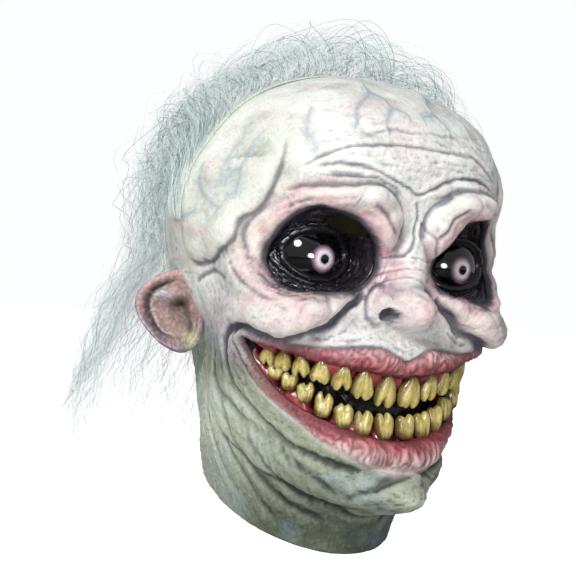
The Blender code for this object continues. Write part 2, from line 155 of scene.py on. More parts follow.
def noise3(p, size, seed=0):
    """Smooth noise from -1 to 1 in space, its lumps about that size."""
    q = np.asarray(p) / size
    i = np.floor(q).astype(np.int64)
    f = q - i
    f = f * f * (3 - 2 * f)
    total = 0
    for dx in (0, 1):
        for dy in (0, 1):
            for dz in (0, 1):
                share = abs(1 - dx - f[..., 0]) * abs(1 - dy - f[..., 1]) * abs(1 - dz - f[..., 2])
                total = total + share * scatter(i[..., 0] + dx, i[..., 1] + dy, i[..., 2] + dz, seed)
    return 2 * total - 1


def ridges(value):
    """Sharp furrows along the zeros of a noise: 0 in a furrow, about 1 between them."""
    return np.clip(np.abs(value) * 1.9, 0, 1) ** 0.8


def through(points, steps=6, closed=False):
    """A smooth curve through (azimuth, height) points, as (arc, height)."""
    p = np.array(points, float) * (ARC, 1)
    count = len(p) if closed else len(p) - 1
    curve = []
    for k in range(count):
        if closed:
            a, b, c, d = p[k - 1], p[k], p[(k + 1) % len(p)], p[(k + 2) % len(p)]
        else:
            a, b, c, d = p[max(k - 1, 0)], p[k], p[k + 1], p[min(k + 2, len(p) - 1)]
        for t in np.arange(steps) / steps:
            curve.append(
                0.5 * (2 * b + (c - a) * t + (2 * a - 5 * b + 4 * c - d) * t**2 + (3 * b - a - 3 * c + d) * t**3)
            )
    curve.append(p[0] if closed else p[-1])
    return np.array(curve)


def along_line(s, z, line, reach):
    """For each point: distance to the line up to reach, its side (1 left, -1 right), share along it."""
    distance = np.full(s.shape, float(reach))
    side, share = np.ones(s.shape), np.zeros(s.shape)
    low, high = line.min(0) - reach, line.max(0) + reach
    pick = (s > low[0]) & (s < high[0]) & (z > low[1]) & (z < high[1])
    if not pick.any():
        return distance, side, share
    p = np.stack([s[pick], z[pick]], -1)
    lengths = np.linalg.norm(np.diff(line, axis=0), axis=1)
    starts = np.concatenate([[0], np.cumsum(lengths)])
    best, turned, passed = np.full(len(p), 1e9), np.ones(len(p)), np.zeros(len(p))
    for k, length in enumerate(lengths):
        if length < 1e-9:
            continue
        a, ray = line[k], (line[k + 1] - line[k]) / length
        offset = p - a
        t = np.clip(offset @ ray, 0, length)
        apart = np.linalg.norm(offset - t[:, None] * ray, axis=1)
        nearer = apart < best
        best[nearer] = apart[nearer]
        turned[nearer] = np.where(ray[0] * offset[nearer, 1] - ray[1] * offset[nearer, 0] > 0, 1, -1)
        passed[nearer] = (starts[k] + t[nearer]) / starts[-1]
    distance[pick] = np.minimum(best, reach)
    side[pick], share[pick] = turned, passed
    return distance, side, share


def outside(s, z, outline, reach):
    """Distance outside a closed outline, negative inside it, at most reach, and the share round it."""
    distance, _, share = along_line(s, z, outline, reach)
    inside = np.zeros(s.shape, bool)
    for a, b in zip(outline[:-1], outline[1:]):
        if a[1] == b[1]:
            continue
        crosses = (a[1] > z) != (b[1] > z)
        inside ^= crosses & (s < a[0] + (z - a[1]) / (b[1] - a[1]) * (b[0] - a[0]))
    return np.where(inside, -distance, distance), share


# ---- the plain head ----


def egg(azimuth, z, width, front, back, lean):
    """A point on a section with those reaches."""
    s, c = np.sin(azimuth), np.cos(azimuth)
    fullness = FACE_SQUARENESS * ease(-5, 50, z) * np.sqrt(np.clip(c, 0, 1))
    power = 2 + np.where(c > 0, fullness, 0)
    depth = np.maximum(np.where(c > 0, front, back), 1e-6)
    radius = (np.abs(s / np.maximum(width, 1e-6)) ** power + np.abs(c / depth) ** power) ** (-1 / power)
    return np.stack([radius * s, -radius * c - lean, z + 0 * radius], -1)


def plain_head(s, z):
    """Points of the plain head at arcs s and heights z."""
    low = np.minimum(z, SHOULDER)
    t = np.clip((z - SHOULDER) / (SKULL_TOP - SHOULDER), 0, 1)
    shrink = np.clip(1 - t**DOME_POWER, 0, 1) ** (1 / DOME_POWER)
    width = spline(SECTION_HEIGHTS, SECTION_WIDTHS, low) * shrink
    front = spline(SECTION_HEIGHTS, SECTION_FRONTS, low) * shrink
    back = spline(SECTION_HEIGHTS, SECTION_BACKS, low) * shrink
    return egg(s / HEAD_RADIUS, z, width, front, back, DOME_LEAN * ease(150, 275, z))


# Soft forms of the face: centre, reach and push, in millimetres. Those off the middle are mirrored.
FORMS = (
    ((0, -108, 131), (20, 40, 20), (0, -6, 0)),  # nose tip
    ((14, -106, 122), (12, 40, 10), (0, -2, 0)),  # nose wing
    ((0, -106, 152), (12, 40, 26), (0, -3, 0)),  # nose bridge
    ((16, -108, 178), (16, 34, 15), (0, -3, 0)),  # frown lump
    ((44, -102, 199), (36, 34, 15), (0, -7, -2)),  # brow
    ((90, -58, 158), (18, 34, 34), (9, -4, 0)),  # orbit's outer bone
    ((82, -68, 142), (26, 38, 17), (8, -7, 0)),  # cheekbone beside the eye
    ((74, -74, 119), (36, 44, 28), (11.5, -17, 0)),  # cheek
    ((94, -8, 186), (40, 56, 48), (9, 0, 0)),  # temple lobe
    ((92, 14, 92), (44, 62, 58), (-12, 0, 0)),  # hollow behind the jaw
    ((0, -113, 101), (54, 34, 14), (0, -6, 1)),  # upper lip
    ((0, -112, 37), (60, 40, 16), (0, -14, 0)),  # lower lip
    ((4, -102, 12), (42, 40, 26), (2, -17, -2)),  # chin
)

# Rounded lumps pressed forward: centre (x, z), half sizes, tilt in degrees, height, sharpness of the edge.
# Those off the middle are mirrored.
LUMPS = (
    ((26, 182), (15, 24), -36, 10.5, 0.85),  # inner brow
    ((50, 200), (26, 12), -14, 5.0, 1.0),  # outer brow
    ((57, 130), (24, 8), -10, 3.0, 1.0),  # bag under the eye
    ((52, 130), (26, 9), -38, 3.5, 1.0),  # inner cheek
    ((70, 119), (22, 15), 0, 4.0, 1.1),  # cheek
    ((26, 109), (17, 8), 10, 2.2, 1.2),  # muzzle
    ((13, 14), (33, 19), 0, 6.0, 0.9),  # ball of the chin
    ((42, 26), (20, 10), 24, 3.0, 1.0),  # chin's side
    ((0, 219), (26, 8), 0, 1.4, 1.2),  # forehead
    ((30, 224), (20, 9), 14, 1.5, 1.2),
)

# The nose, as lumps whose fronts stand at a set distance:
# centre, half sizes, front, depth, softness of the join.
NOSE = (
    ((0, 152), (11.5, 25), 119, 13, 7),  # bridge
    ((15.5, 128.5), (8.0, 10.5), 118, 15, 2.5),  # wing
    ((0, 129), (14.5, 15.5), 136, 28, 3.0),  # ball
)
NOSE_SIDEWAYS = 2.0  # the nose stands a little to the mask's left
NOSTRIL = ((16.6, 125.8), (4.6, 4.4), 9.0)


def swung(x, y, angle):
    """A point turned about the origin, from x towards y."""
    c, s = math.cos(angle), math.sin(angle)
    return x * c - y * s, x * s + y * c


def both_sides(centre):
    """1 for the mask's left and -1 for its right, or just 1 for a form on the middle."""
    return (1, -1) if centre[0] else (1,)


def in_oval(points, centre, half_size, tilt, side):
    """Squared distance from the oval's middle, 1 on its edge."""
    along, over = swung(side * points[..., 0] - centre[0], points[..., 2] - centre[1], -math.radians(tilt))
    return (along / half_size[0]) ** 2 + (over / half_size[1]) ** 2


def modelled(points):
    """Points with the lumps, the nose and the nostrils pressed into the front of the face."""
    front = ease(-20, -50, points[..., 1])
    depth = -points[..., 1]
    for centre, half_size, tilt, height, edge in LUMPS:
        for side in both_sides(centre):
            oval = in_oval(points, centre, half_size, tilt, side)
            depth = depth + height * np.clip(1 - oval, 0, 1) ** edge * front
    for centre, half_size, reach, deep, softness in NOSE:
        for side in both_sides(centre):
            oval = in_oval(points - (NOSE_SIDEWAYS, 0, 0), centre, half_size, 0, side)
            dome = reach - deep + deep * np.sqrt(np.clip(1 - oval, 0, 1))
            dome = dome - 2.2 * deep * (np.sqrt(np.maximum(oval, 1)) - 1)
            joined = 0.5 * (depth + dome + np.sqrt((depth - dome) ** 2 + softness**2))
            depth = np.where(points[..., 1] < -60, np.maximum(joined - 0.3, depth), depth)
    centre, half_size, deep = NOSTRIL
    for side in (1, -1):
        oval = in_oval(points - (NOSE_SIDEWAYS, 0, 0), centre, half_size, -18, side)
        depth = depth - deep * np.clip(1 - oval, 0, 1) ** 0.8 * front
    moved = points.copy()
    moved[..., 1] = -depth
    return moved


def pushed(points, forms):
    """Points with soft forms pushed out."""
    moved = points.copy()
    for centre, reach, push in forms:
        for side in both_sides(centre):
            mirror = np.array((side, 1, 1))
            distance = (points - mirror * centre) / reach
            weight = np.clip(1 - (distance**2).sum(-1), 0, 1) ** 2
            moved += weight[..., None] * mirror * push
    return moved


def plain_face(s, z):
    """Points of the head with its soft forms, but without the lumps, the nose and the nostrils."""
    return pushed(plain_head(s, z), FORMS)


def formed_head(s, z):
    return modelled(plain_face(s, z))


def head_frame(s, z, surface=formed_head, step=1.5):
    """Points and outward unit normals of a surface over arcs and heights."""
    rise = np.where(z > SHOULDER + 60, -step, step)
    here = surface(s, z)
    across = surface(s + step, z) - here
    up = (surface(s, z + rise) - here) * np.sign(rise)[..., None]
    normal = np.cross(across, up)
    return here, normal / np.maximum(np.linalg.norm(normal, axis=-1, keepdims=True), 1e-9)


# ---- outlines on the head, as (azimuth, height) ----

SOCKET = ((11.5, 157), (17, 141), (29, 135), (41, 138), (48, 153), (46.5, 169), (41, 182), (32, 188.5),
    (21, 180))
SOCKET_SIDEWAYS = 1.0  # degrees that both sockets stand to the mask's left
MOUTH_TOP = ((0, 88), (11, 90), (20, 92.5), (30, 95.5), (40, 99), (49, 102), (55.5, 104.5))
MOUTH_BOTTOM = ((0, 47.5), (10, 49), (20, 53.5), (30, 59.5), (37, 65.5), (43, 73), (49, 83), (53.5, 92),
    (56.5, 99.5))
LIP_TOP = ((0, 96), (4, 99.5), (9, 104.5), (14, 104.5), (20, 103), (30, 102), (40, 103.5), (50, 106.5),
    (57, 109))
LIP_BOTTOM = ((0, 32), (6, 31), (15, 36), (24, 44.5), (32, 54), (38, 61), (46, 71), (53, 82.5),
    (58, 94), (60.5, 103))


def both_halves(top, bottom):
    """A closed outline from the right-hand halves of its top and bottom edges."""
    right = list(top) + list(reversed(bottom))
    left = [(-a, z) for a, z in reversed(right) if a]
    return right + left


MOUTH_LINE = through(both_halves(MOUTH_TOP, MOUTH_BOTTOM), 8, closed=True)
LIP_LINE = through(both_halves(LIP_TOP, LIP_BOTTOM), 8, closed=True)
SOCKET_LINES = {
    side: through([(side * a + SOCKET_SIDEWAYS, z) for a, z in SOCKET], 10, closed=True) for side in (-1, 1)
}
REACH = 46.0  # distances to the outlines are known this far


def openings(s, z):
    """Distance outside the nearest opening, negative inside one."""
    distance, _ = outside(s, z, MOUTH_LINE, REACH)
    for line in SOCKET_LINES.values():
        distance = np.minimum(distance, outside(s, z, line, REACH)[0])
    return distance


# ---- creases and folds of the face, as (azimuth, height); those marked mirrored are on both sides ----

# Each crease: points, half width, depth, height of the ridge beside it.
MIDDLE_CREASES = (
    (((-42, 211), (-37, 218.4), (-29.8, 224.6), (-19, 229.8), (-6.5, 230.6), (6.8, 228.3), (22, 229),
        (33, 221), (40, 212)), 2.3, 2.4, 1.5),
    (((-38.5, 212), (-28.8, 216), (-20.2, 214.4), (-10.2, 208.8), (-1, 201.5), (5, 205.6), (13.8, 212),
        (22.8, 214.4), (32, 211), (38, 206)), 2.2, 2.6, 1.6),
    (((-22, 236), (-12, 239.5), (0, 238.5), (12, 240), (20, 237)), 2.2, 1.1, 0.8),
    (((-33.5, 209.6), (-23.8, 210.4), (-15, 208), (-9, 203)), 1.7, 1.8, 0.9),
    (((32, 206), (24, 207.5), (15, 206), (9, 201)), 1.7, 1.8, 0.9),
    (((-1.2, 198.2), (1.2, 188.5), (1, 177), (-1, 168.5), (-5, 161)), 1.9, 2.6, 1.0),
    (((1.2, 188.5), (7.8, 174), (11.5, 164.5)), 1.6, 1.8, 0.8),
    (((-10.8, 147.5), (-6.2, 152), (-1.2, 154.5), (5, 152.5), (10, 148)), 1.3, 1.3, 0.7),
    (((-8.2, 143.5), (-3.5, 148.5), (1.8, 147), (7, 143)), 1.3, 1.2, 0.6),
    (((-9, 160), (-3, 162.5), (3, 161.5), (8, 158)), 1.4, 1.3, 0.7),
    (((-16, 14), (-9.2, 22.5), (-2.8, 29), (4, 32), (13.8, 27), (22, 20)), 3.0, 3.2, 1.2),
    (((-14, 2), (-6, -4), (4, -6), (14, -3), (22, 4)), 2.8, 2.4, 0.8),
)
MIRRORED_CREASES = (
    (((-6.5, 143), (-9.5, 142), (-12.4, 137), (-13.2, 130), (-12.2, 122), (-8.5, 116)), 1.9, 3.0, 0.4),
    (((-19.2, 195.5), (-14.5, 188), (-12, 181), (-8, 173.5)), 1.6, 1.8, 0.8),
    (((-14.3, 202.3), (-8.2, 193.5), (-4.5, 182), (-4, 172.5)), 1.7, 2.2, 1.0),
    (((-24, 200), (-31, 197), (-38, 193), (-43, 186)), 1.5, 1.3, 0.7),
    (((-49.2, 188.5), (-53.8, 176), (-53, 160), (-48.8, 145.5), (-39, 132), (-31, 129),
        (-23.5, 134)), 2.4, 1.2, 0.8),
    (((-58, 150), (-52, 137), (-44, 127)), 1.6, 1.2, 0.8),
    (((-62, 108), (-54.5, 111), (-49, 109), (-44, 106.5), (-39, 105.5), (-34, 110)), 2.6, 3.2, 0.2),
    (((-42, 106), (-36, 108), (-29.5, 114), (-25.5, 120), (-22, 127), (-17.5, 133),
        (-13.5, 138)), 4.0, 6.5, 0.2),
    (((-31.5, 106.5), (-25.5, 110), (-19.5, 116)), 1.6, 1.3, 0.5),
    (((-54, 112), (-62, 108), (-66.5, 99), (-66, 85), (-61, 71), (-52.5, 58), (-43, 47), (-31, 38),
        (-20, 32), (-12, 28)), 3.2, 4.2, 1.0),
    (((-80, 104), (-78.5, 96), (-78.2, 78.5), (-70.2, 65.5), (-56, 52), (-43.5, 42), (-32.2, 30),
        (-23.2, 21), (-14.3, 15)), 3.4, 2.6, 1.2),
    (((-71, 92), (-68, 78), (-58, 63), (-46, 50), (-36, 38)), 2.0, 1.2, 0.6),
    (((-74, 72), (-70.2, 60), (-66.8, 44.5), (-56.2, 27), (-46.5, 12.5), (-31, -1.5),
        (-15.2, -10)), 3.4, 2.6, 1.4),
    (((-84, 80), (-82, 62), (-76, 42), (-66, 22), (-54, 4), (-40, -12)), 3.4, 1.9, 1.2),
    (((-90, 60), (-86, 38), (-78, 18), (-66, 0)), 3.2, 1.5, 1.0),
    (((-54, 40), (-44, 25), (-33, 12), (-22, 3)), 2.4, 2.0, 1.2),
    (((-86, 134), (-78, 140), (-70, 142), (-62, 138)), 2.2, 1.7, 0.9),
)

# Each fold: points, which side of them is raised, height, rise and reach of the raised side.
MIRRORED_FOLDS = (
    (((-50.5, 236), (-50, 226), (-49, 216.8), (-49.2, 200.7), (-52.5, 184.5), (-57, 176), (-57.5, 164),
        (-63.8, 155), (-70, 150), (-81, 146), (-92, 150)), -1, 7.0, 6.0, 26.0),
    (((-46, 192), (-43.8, 197.4), (-35.2, 202.3), (-25.5, 205.6), (-16.8, 204.8), (-9, 198), (-5, 188),
        (-4, 178)), -1, 4.2, 2.6, 11.0),
    (((-68, 100), (-62, 108), (-54.5, 111), (-49, 109), (-44, 106), (-39, 105), (-34, 109.5),
        (-29.5, 114), (-25.5, 120), (-22, 127), (-17.5, 133), (-13.5, 138)), 1, 6.0, 4.0, 24.0),
    (((-100, 86), (-92.5, 75), (-81.5, 58), (-74, 43), (-60, 29), (-42, 17), (-21, 6),
        (-8, 0)), 1, 6.0, 4.0, 22.0),
)

# Veins: raised, blue, thin.
VEINS = (
    ((-62, 233.5), (-62.2, 219.2), (-62.5, 208.8), (-60.5, 195.5), (-64, 187), (-65, 175)),
    ((-81.5, 212), (-79.5, 199.9), (-73.2, 190), (-66.2, 183), (-64.5, 171)),
    ((-95.8, 172.5), (-83.2, 177), (-74.5, 184)),
    ((-22.2, 270.2), (-21, 263.1), (-14, 258), (-11.2, 252.2), (-4, 249.3), (-5.2, 241.1)),
    ((-21, 263.1), (-27.8, 251.7), (-27, 241.7), (-27.8, 235.6)),
    ((-47, 250), (-45.2, 241.1), (-42, 229.1), (-37.5, 219.9)),
    ((-72, 240), (-70, 226), (-72, 212), (-69, 200)),
    ((-62.5, 208.8), (-68, 203), (-71, 195)),
    ((-11.2, 252.2), (-15, 243), (-13, 235)),
)

# The plane of the hair's tape: where it stands, its tilt, and how low it reaches.
BAND_Y = -2.0
BAND_TILT = math.radians(9)
BAND_BOTTOM = 150.0


def creases_and_folds(s, z):
    """Height of the face's creases and folds, and how much dark paint goes in them, which also stands in for
    their shade.
    """
    height, creased = np.zeros(s.shape), np.zeros(s.shape)
    creases = [(1, line, 0.62 * width, 0.75 * depth, ridge) for line, width, depth, ridge in MIDDLE_CREASES]
    creases += [(side, *crease) for side in (1, -1) for crease in MIRRORED_CREASES]
    for side, line, half_width, depth, ridge in creases:
        distance, _, share = along_line(side * s, z, through(line), 5 * half_width + 2)
        taper = np.clip(12 * share * (1 - share), 0, 1) ** 0.7
        half_width, depth = 0.85 * half_width, 0.6 * depth
        furrow = taper * bell(distance, half_width)
        beside = taper * bell(distance - 2.3 * half_width, 1.4 * half_width)
        height += 0.45 * ridge * beside - depth * furrow
        creased = np.maximum(creased, furrow * depth / 3)
    for side in (1, -1):
        for line, raised, top, rise, reach in MIRRORED_FOLDS:
            distance, turned, share = along_line(side * s, z, through(line), 2.2 * reach)
            taper = ease(0, 0.22, share) * ease(1, 0.9, share)
            up = np.where(turned == raised, 1 - np.exp(-distance / rise), 0) * bell(distance, reach)
            height += taper * (top * up - 0.7 * bell(distance, 2.0))
            creased = np.maximum(creased, 0.55 * ease(0.1, 0.5, share) * taper * bell(distance, 2.6))
    return height, creased


def veins(s, z):
    """1 along the middle of each vein, fading towards its sides and ends."""
    veined = np.zeros(s.shape)
    for side in (1, -1):
        for line in VEINS:
            distance, _, share = along_line(side * s, z, through(line), 6)
            fade = ease(0, 0.06, share) * ease(1, 0.85, share)
            veined = np.maximum(veined, bell(distance, 1.5 - 0.6 * share) * fade)
    return veined


def socket_rings(s, z, wander_s, wander_z):
    """Height of the fine wrinkles round the sockets, heavier underneath, and the distance to a socket."""
    height, nearest = np.zeros(s.shape), np.full(s.shape, REACH)
    heavy = 0.6 + 0.7 * ease(165, 138, z)
    for side, line in SOCKET_LINES.items():
        distance, share = outside(s, z, line, REACH)
        nearest = np.minimum(nearest, distance)
        weight = heavy * ease(17, 6, distance) * ease(-1.5, 1.5, distance)
        lines = ridges(noise2(distance / 2.6 + 0.8 * wander_s, share * 17 + side * 7, 21))
        fine = ridges(noise2(distance / 1.3 + 0.5 * wander_z, share * 30 + side * 7, 22))
        height -= weight * (0.65 * (1 - lines) + 0.30 * (1 - fine))
        height += 1.2 * bell(distance - 7, 5) - 0.6 * bell(distance, 3)
    return height, nearest


def wrinkles(s, z, wander_s, wander_z, lip, along, near_eye):
    """Depth of the wrinkles that run with the form, and how wrinkled each place is.

    They are level on the forehead, run round the mouth and slant down the neck.
    """
    ws, wz = s + wander_s, z + wander_z
    forehead = ease(196, 206, z) * ease(250, 232, z) * ease(88, 62, abs(s))
    level = ridges(noise2(ws / 40, wz / 4.2, 31))
    level_fine = ridges(noise2(ws / 34 + 3, wz / 2.4, 32))
    depth = forehead * (0.4 * (1 - level) + 0.42 * (1 - level_fine))
    neck = ease(104, 76, z) * ease(4, 12, lip)
    tilt = np.where(s < 0, 1, -1)
    down = (0.60 * wz + tilt * 0.80 * ws) / 4.4
    onward = 0.80 * wz - tilt * 0.60 * ws
    slant = ridges(noise2(down, onward / 30 + 9 * tilt, 33))
    slant_fine = ridges(noise2(down * 2.1, onward / 17 + 9 * tilt, 34))
    fading = ease(-30, 30, z)
    depth += neck * (0.7 * fading * (1 - slant) + 0.22 * (0.4 + 0.6 * fading) * (1 - slant_fine))
    by_lip = ease(2, 6, lip) * ease(26, 12, lip)
    depth += 0.6 * by_lip * (1 - ridges(noise2(lip / 3.0 + 0.6 * wander_z, along / 16, 35)))
    cheek = ease(96, 108, z) * ease(168, 150, z) * ease(10, 18, near_eye) * ease(8, 14, lip)
    depth += 0.2 * cheek * (1 - ridges(noise2((wz + 0.35 * abs(ws)) / 4.0, ws / 17, 36)))
    return depth, neck + by_lip + cheek + 0.4 * forehead


def relief(s, z, place):
    """Height of the sculpted skin over the formed head, and the masks that its paint follows."""
    wander_s = 1.6 * noise3(place, 17, 3) + 0.7 * noise3(place, 6, 4)
    wander_z = 1.6 * noise3(place, 17, 5) + 0.7 * noise3(place, 6, 6)
    height, creased = creases_and_folds(s + wander_s, z + wander_z)
    veined = veins(s + wander_s, z + wander_z)
    rings, near_eye = socket_rings(s, z, wander_s, wander_z)
    height += 0.9 * veined + rings

    # lips: a rolled band round the mouth, cracked across
    mouth, round_mouth = outside(s, z, MOUTH_LINE, REACH)
    lip, _ = outside(s, z, LIP_LINE, REACH)
    band = np.maximum(mouth - lip, 1.5)
    across = np.clip(mouth / band, 0, 1)
    on_lip = ease(0.8, -0.8, lip) * (mouth > -3)
    roll = np.sqrt(np.clip(4 * across * (1 - across), 0, 1))
    along = round_mouth * np.linalg.norm(np.diff(MOUTH_LINE, axis=0), axis=1).sum()
    cracks = ridges(noise2(along / 3.4 + 0.9 * wander_s, across * 2.0 + 0.4 * wander_z, 11))
    height += on_lip * (np.minimum(0.34 * band, 4.6) * roll - 1.5 * (1 - cracks))
    height -= 0.8 * bell(lip, 1.3) * (mouth > 1)

    depth, wrinkled = wrinkles(s, z, wander_s, wander_z, lip, along, near_eye)
    height -= depth

    # overall: shallow lumps and a leathery grain, flatter at the mouth's edge and under the hair's tape
    height += 1.2 * noise3(place, 24, 41) + 0.45 * noise3(place, 9, 42)
    fine = ridges(noise3(place, 2.6, 44))
    height += np.clip(0.45 + wrinkled, 0, 1) * (0.25 * noise3(place, 3.4, 43) - 0.42 * (1 - fine))
    height *= ease(-2.5, 2.0, mouth) * 0.6 + 0.4
    from_tape = place[..., 1] - BAND_Y + (z - BAND_BOTTOM) * math.tan(BAND_TILT)
    height *= 1 - 0.85 * bell(from_tape, 9) * (z > BAND_BOTTOM - 10)
    masks = {
        "lip": on_lip,
        "mouth": mouth,
        "eye": near_eye,
        "vein": veined,
        "crease": creased,
        "crack": on_lip * (1 - cracks),
        "outline": bell(lip, 2.0) * (mouth > 1),
    }
    return height, masks


# ---- the skin's grid ----


def rim_height(s):
    """Height of the neck's slanted cut at each arc."""
    z = np.full(s.shape, -20.0)
    for _ in range(30):
        z = 0.5 * z + 0.5 * (RIM_SLOPE * plain_head(s, z)[..., 1] + RIM_HEIGHT)
    return z


def slid_to_rim(s, z):
    """Heights of level rows, slanted near the bottom so that the lowest one follows the neck's cut."""
    slid = LEVEL_ABOVE - (LEVEL_ABOVE - z) * (LEVEL_ABOVE - rim_height(s)) / (LEVEL_ABOVE - LOWEST)
    return np.where(z < LEVEL_ABOVE, slid, z)


def over_dome(levels, turns):
    """Heights of the level rows, then of the rows over the skull's dome."""
    return np.concatenate([levels, SHOULDER + (SKULL_TOP - SHOULDER) * np.sin(turns)])

LOWEST = float(rim_height(np.zeros(1))[0])


def skin_grid():
    """Arcs and heights of the skin's columns and rows, fine over the face."""
    half, whole = FRONT_HALF_WIDTH * ARC, 360 * ARC
    front = np.linspace(-half, half, 2 * round(half / FRONT_STEP) + 1)
    back = np.linspace(half, whole - half, round((whole - 2 * half) / BACK_STEP) + 1)[1:-1]
    levels = np.linspace(LOWEST, SHOULDER, round((SHOULDER - LOWEST) / FRONT_STEP) + 1)
    turns = np.linspace(0, math.pi / 2, round(112 / FRONT_STEP) + 1)[1:-1]
    s, z = np.meshgrid(np.concatenate([front, back]), over_dome(levels, turns))
    return s, slid_to_rim(s, z)


def wrapped(s):
    """Arcs from -180 to 180 degrees."""
    half = 180 * ARC
    return (s + half) % (2 * half) - half


def snap_to_openings(s, z, step=0.05):
    """Moves the points nearest an opening's edge onto it; returns each point's distance outside."""
    distance = openings(s, z)
    near = np.abs(distance) < 0.58 * FRONT_STEP
    slope_s = (openings(s[near] + step, z[near]) - openings(s[near] - step, z[near])) / (2 * step)
    slope_z = (openings(s[near], z[near] + step) - openings(s[near], z[near] - step)) / (2 * step)
    size = np.maximum(slope_s**2 + slope_z**2, 0.2)
    s[near] -= distance[near] * slope_s / size
    z[near] -= distance[near] * slope_z / size
    distance[near] = 0.0
    return distance


def blurred(field, steps):
    """A grid field averaged over that many points each way, twice. Columns wrap round."""
    out = field
    for _ in range(2):
        rows = np.concatenate([np.repeat(out[:1], steps, 0), out, np.repeat(out[-1:], steps, 0)])
        sums = np.cumsum(np.concatenate([np.zeros((1, out.shape[1])), rows]), 0)
        out = (sums[2 * steps + 1 :] - sums[: -2 * steps - 1]) / (2 * steps + 1)
        wide = np.concatenate([out[:, -steps:], out, out[:, :steps]], 1)
        sums = np.cumsum(np.concatenate([np.zeros((out.shape[0], 1)), wide], 1), 1)
        out = (sums[:, 2 * steps + 1 :] - sums[:, : -2 * steps - 1]) / (2 * steps + 1)
    return out


def faces_of(rows, columns, kept):
    """Quads of a grid whose columns wrap round, and triangles where just one corner is left out."""
    i, j = np.meshgrid(np.arange(rows - 1), np.arange(columns), indexing="ij")
    a, b = i * columns + j, i * columns + (j + 1) % columns
    quads = np.stack([a, b, b + columns, a + columns], -1).reshape(-1, 4)
    inside = ~kept[quads]
    whole = quads[inside.sum(1) == 0]
    cut = inside.sum(1) == 1
    corner = inside[cut].argmax(1)
    turned = np.stack([(corner + k) % 4 for k in (1, 2, 3)], 1)
    return whole, np.take_along_axis(quads[cut], turned, 1)


def whole_faces(rows, columns):
    """Quads of a grid whose columns wrap round."""
    return faces_of(rows, columns, np.ones(rows * columns, bool))[0]


def sheet(rows, columns):
    """Quads of a grid with open sides."""
    i, j = np.meshgrid(np.arange(rows - 1), np.arange(columns - 1), indexing="ij")
    a = i * columns + j
    return np.stack([a, a + 1, a + 1 + columns, a + columns], -1).reshape(-1, 4).tolist()


def face_lists(groups, first=0):
    """Faces as plain lists, their points counted from first."""
    return [[first + int(k) for k in face] for group in groups for face in group]


def fan(ring, pole):
    """Triangles from a closed ring of points to a pole."""
    return [[ring[j - 1], ring[j], pole] for j in range(len(ring))]


def sleeve(ring, after):
    """Quads between two closed rings with as many points."""
    return [[ring[j - 1], ring[j], after[j], after[j - 1]] for j in range(len(ring))]


def without_loose(points, faces, colours):
    """The same faces on just the points that they use."""
    used = np.zeros(len(points), bool)
    for face in faces:
        used[list(face)] = True
    new = np.cumsum(used) - 1
    return points[used], [[int(new[k]) for k in face] for face in faces], colours[used]


def open_loops(faces):
    """The rings of points along the open edges of some faces, longest first."""
    after = {}
    edges = set()
    for face in faces:
        for a, b in zip(face, face[1:] + face[:1]):
            edges.add((a, b))
    for a, b in edges:
        if (b, a) not in edges:
            after.setdefault(a, []).append(b)
    loops = []
    while after:
        start = next(iter(after))
        loop, here = [], start
        while here in after:
            loop.append(here)
            follow = after[here].pop()
            if not after[here]:
                del after[here]
            here = follow
        loops.append(loop)
    return sorted(loops, key=len, reverse=True)


def zip_rings(outer, outer_at, inner, inner_at):
    """Triangles between two closed rings of points, given each point's share round its ring."""
    a_order, b_order = np.argsort(outer_at), np.argsort(inner_at)
    a, at = np.asarray(outer)[a_order], np.asarray(outer_at)[a_order]
    b, bt = np.asarray(inner)[b_order], np.asarray(inner_at)[b_order]
    a, at = np.append(a, a[0]), np.append(at, at[0] + 1)
    b, bt = np.append(b, b[0]), np.append(bt, bt[0] + 1)
    i = j = 0
    triangles = []
    while i < len(a) - 1 or j < len(b) - 1:
        if j == len(b) - 1 or (i < len(a) - 1 and at[i + 1] < bt[j + 1]):
            triangles.append((a[i], a[i + 1], b[j]))
            i += 1
        else:
            triangles.append((a[i], b[j + 1], b[j]))
            j += 1
    return triangles


# ---- paint ----


def paint(red, green, blue):
    """A colour as seen, turned to the shader's even scale of light."""
    seen = np.array((red, green, blue), float)
    return np.where(seen > 0.04045, ((seen + 0.055) / 1.055) ** 2.4, seen / 12.92)


CREAM = paint(0.935, 0.945, 0.925)
PALE_GREEN = paint(0.81, 0.84, 0.76)
NECK_GREEN = paint(0.56, 0.60, 0.50)
# Painted shade: this dark green darkens the neck low down, at its back and on the side away from the key light.
SHADE_GREEN = paint(0.27, 0.31, 0.24)
FLUSH = paint(0.86, 0.66, 0.68)
DEEP_FLUSH = paint(0.74, 0.46, 0.52)
# The mask's dark airbrushing, laid in furrows, hollows and grooves, where it also stands in for their shade.
WASH_AND_SHADE = paint(0.36, 0.37, 0.43)
DARK_WASH_AND_SHADE = paint(0.16, 0.15, 0.19)
VEIN_BLUE = paint(0.50, 0.60, 0.68)
HIGHLIGHT = paint(0.97, 0.97, 0.94)
LIP_PINK = paint(0.80, 0.37, 0.43)
LIP_RED = paint(0.45, 0.13, 0.17)
LATEX_INSIDE = paint(0.72, 0.68, 0.56)


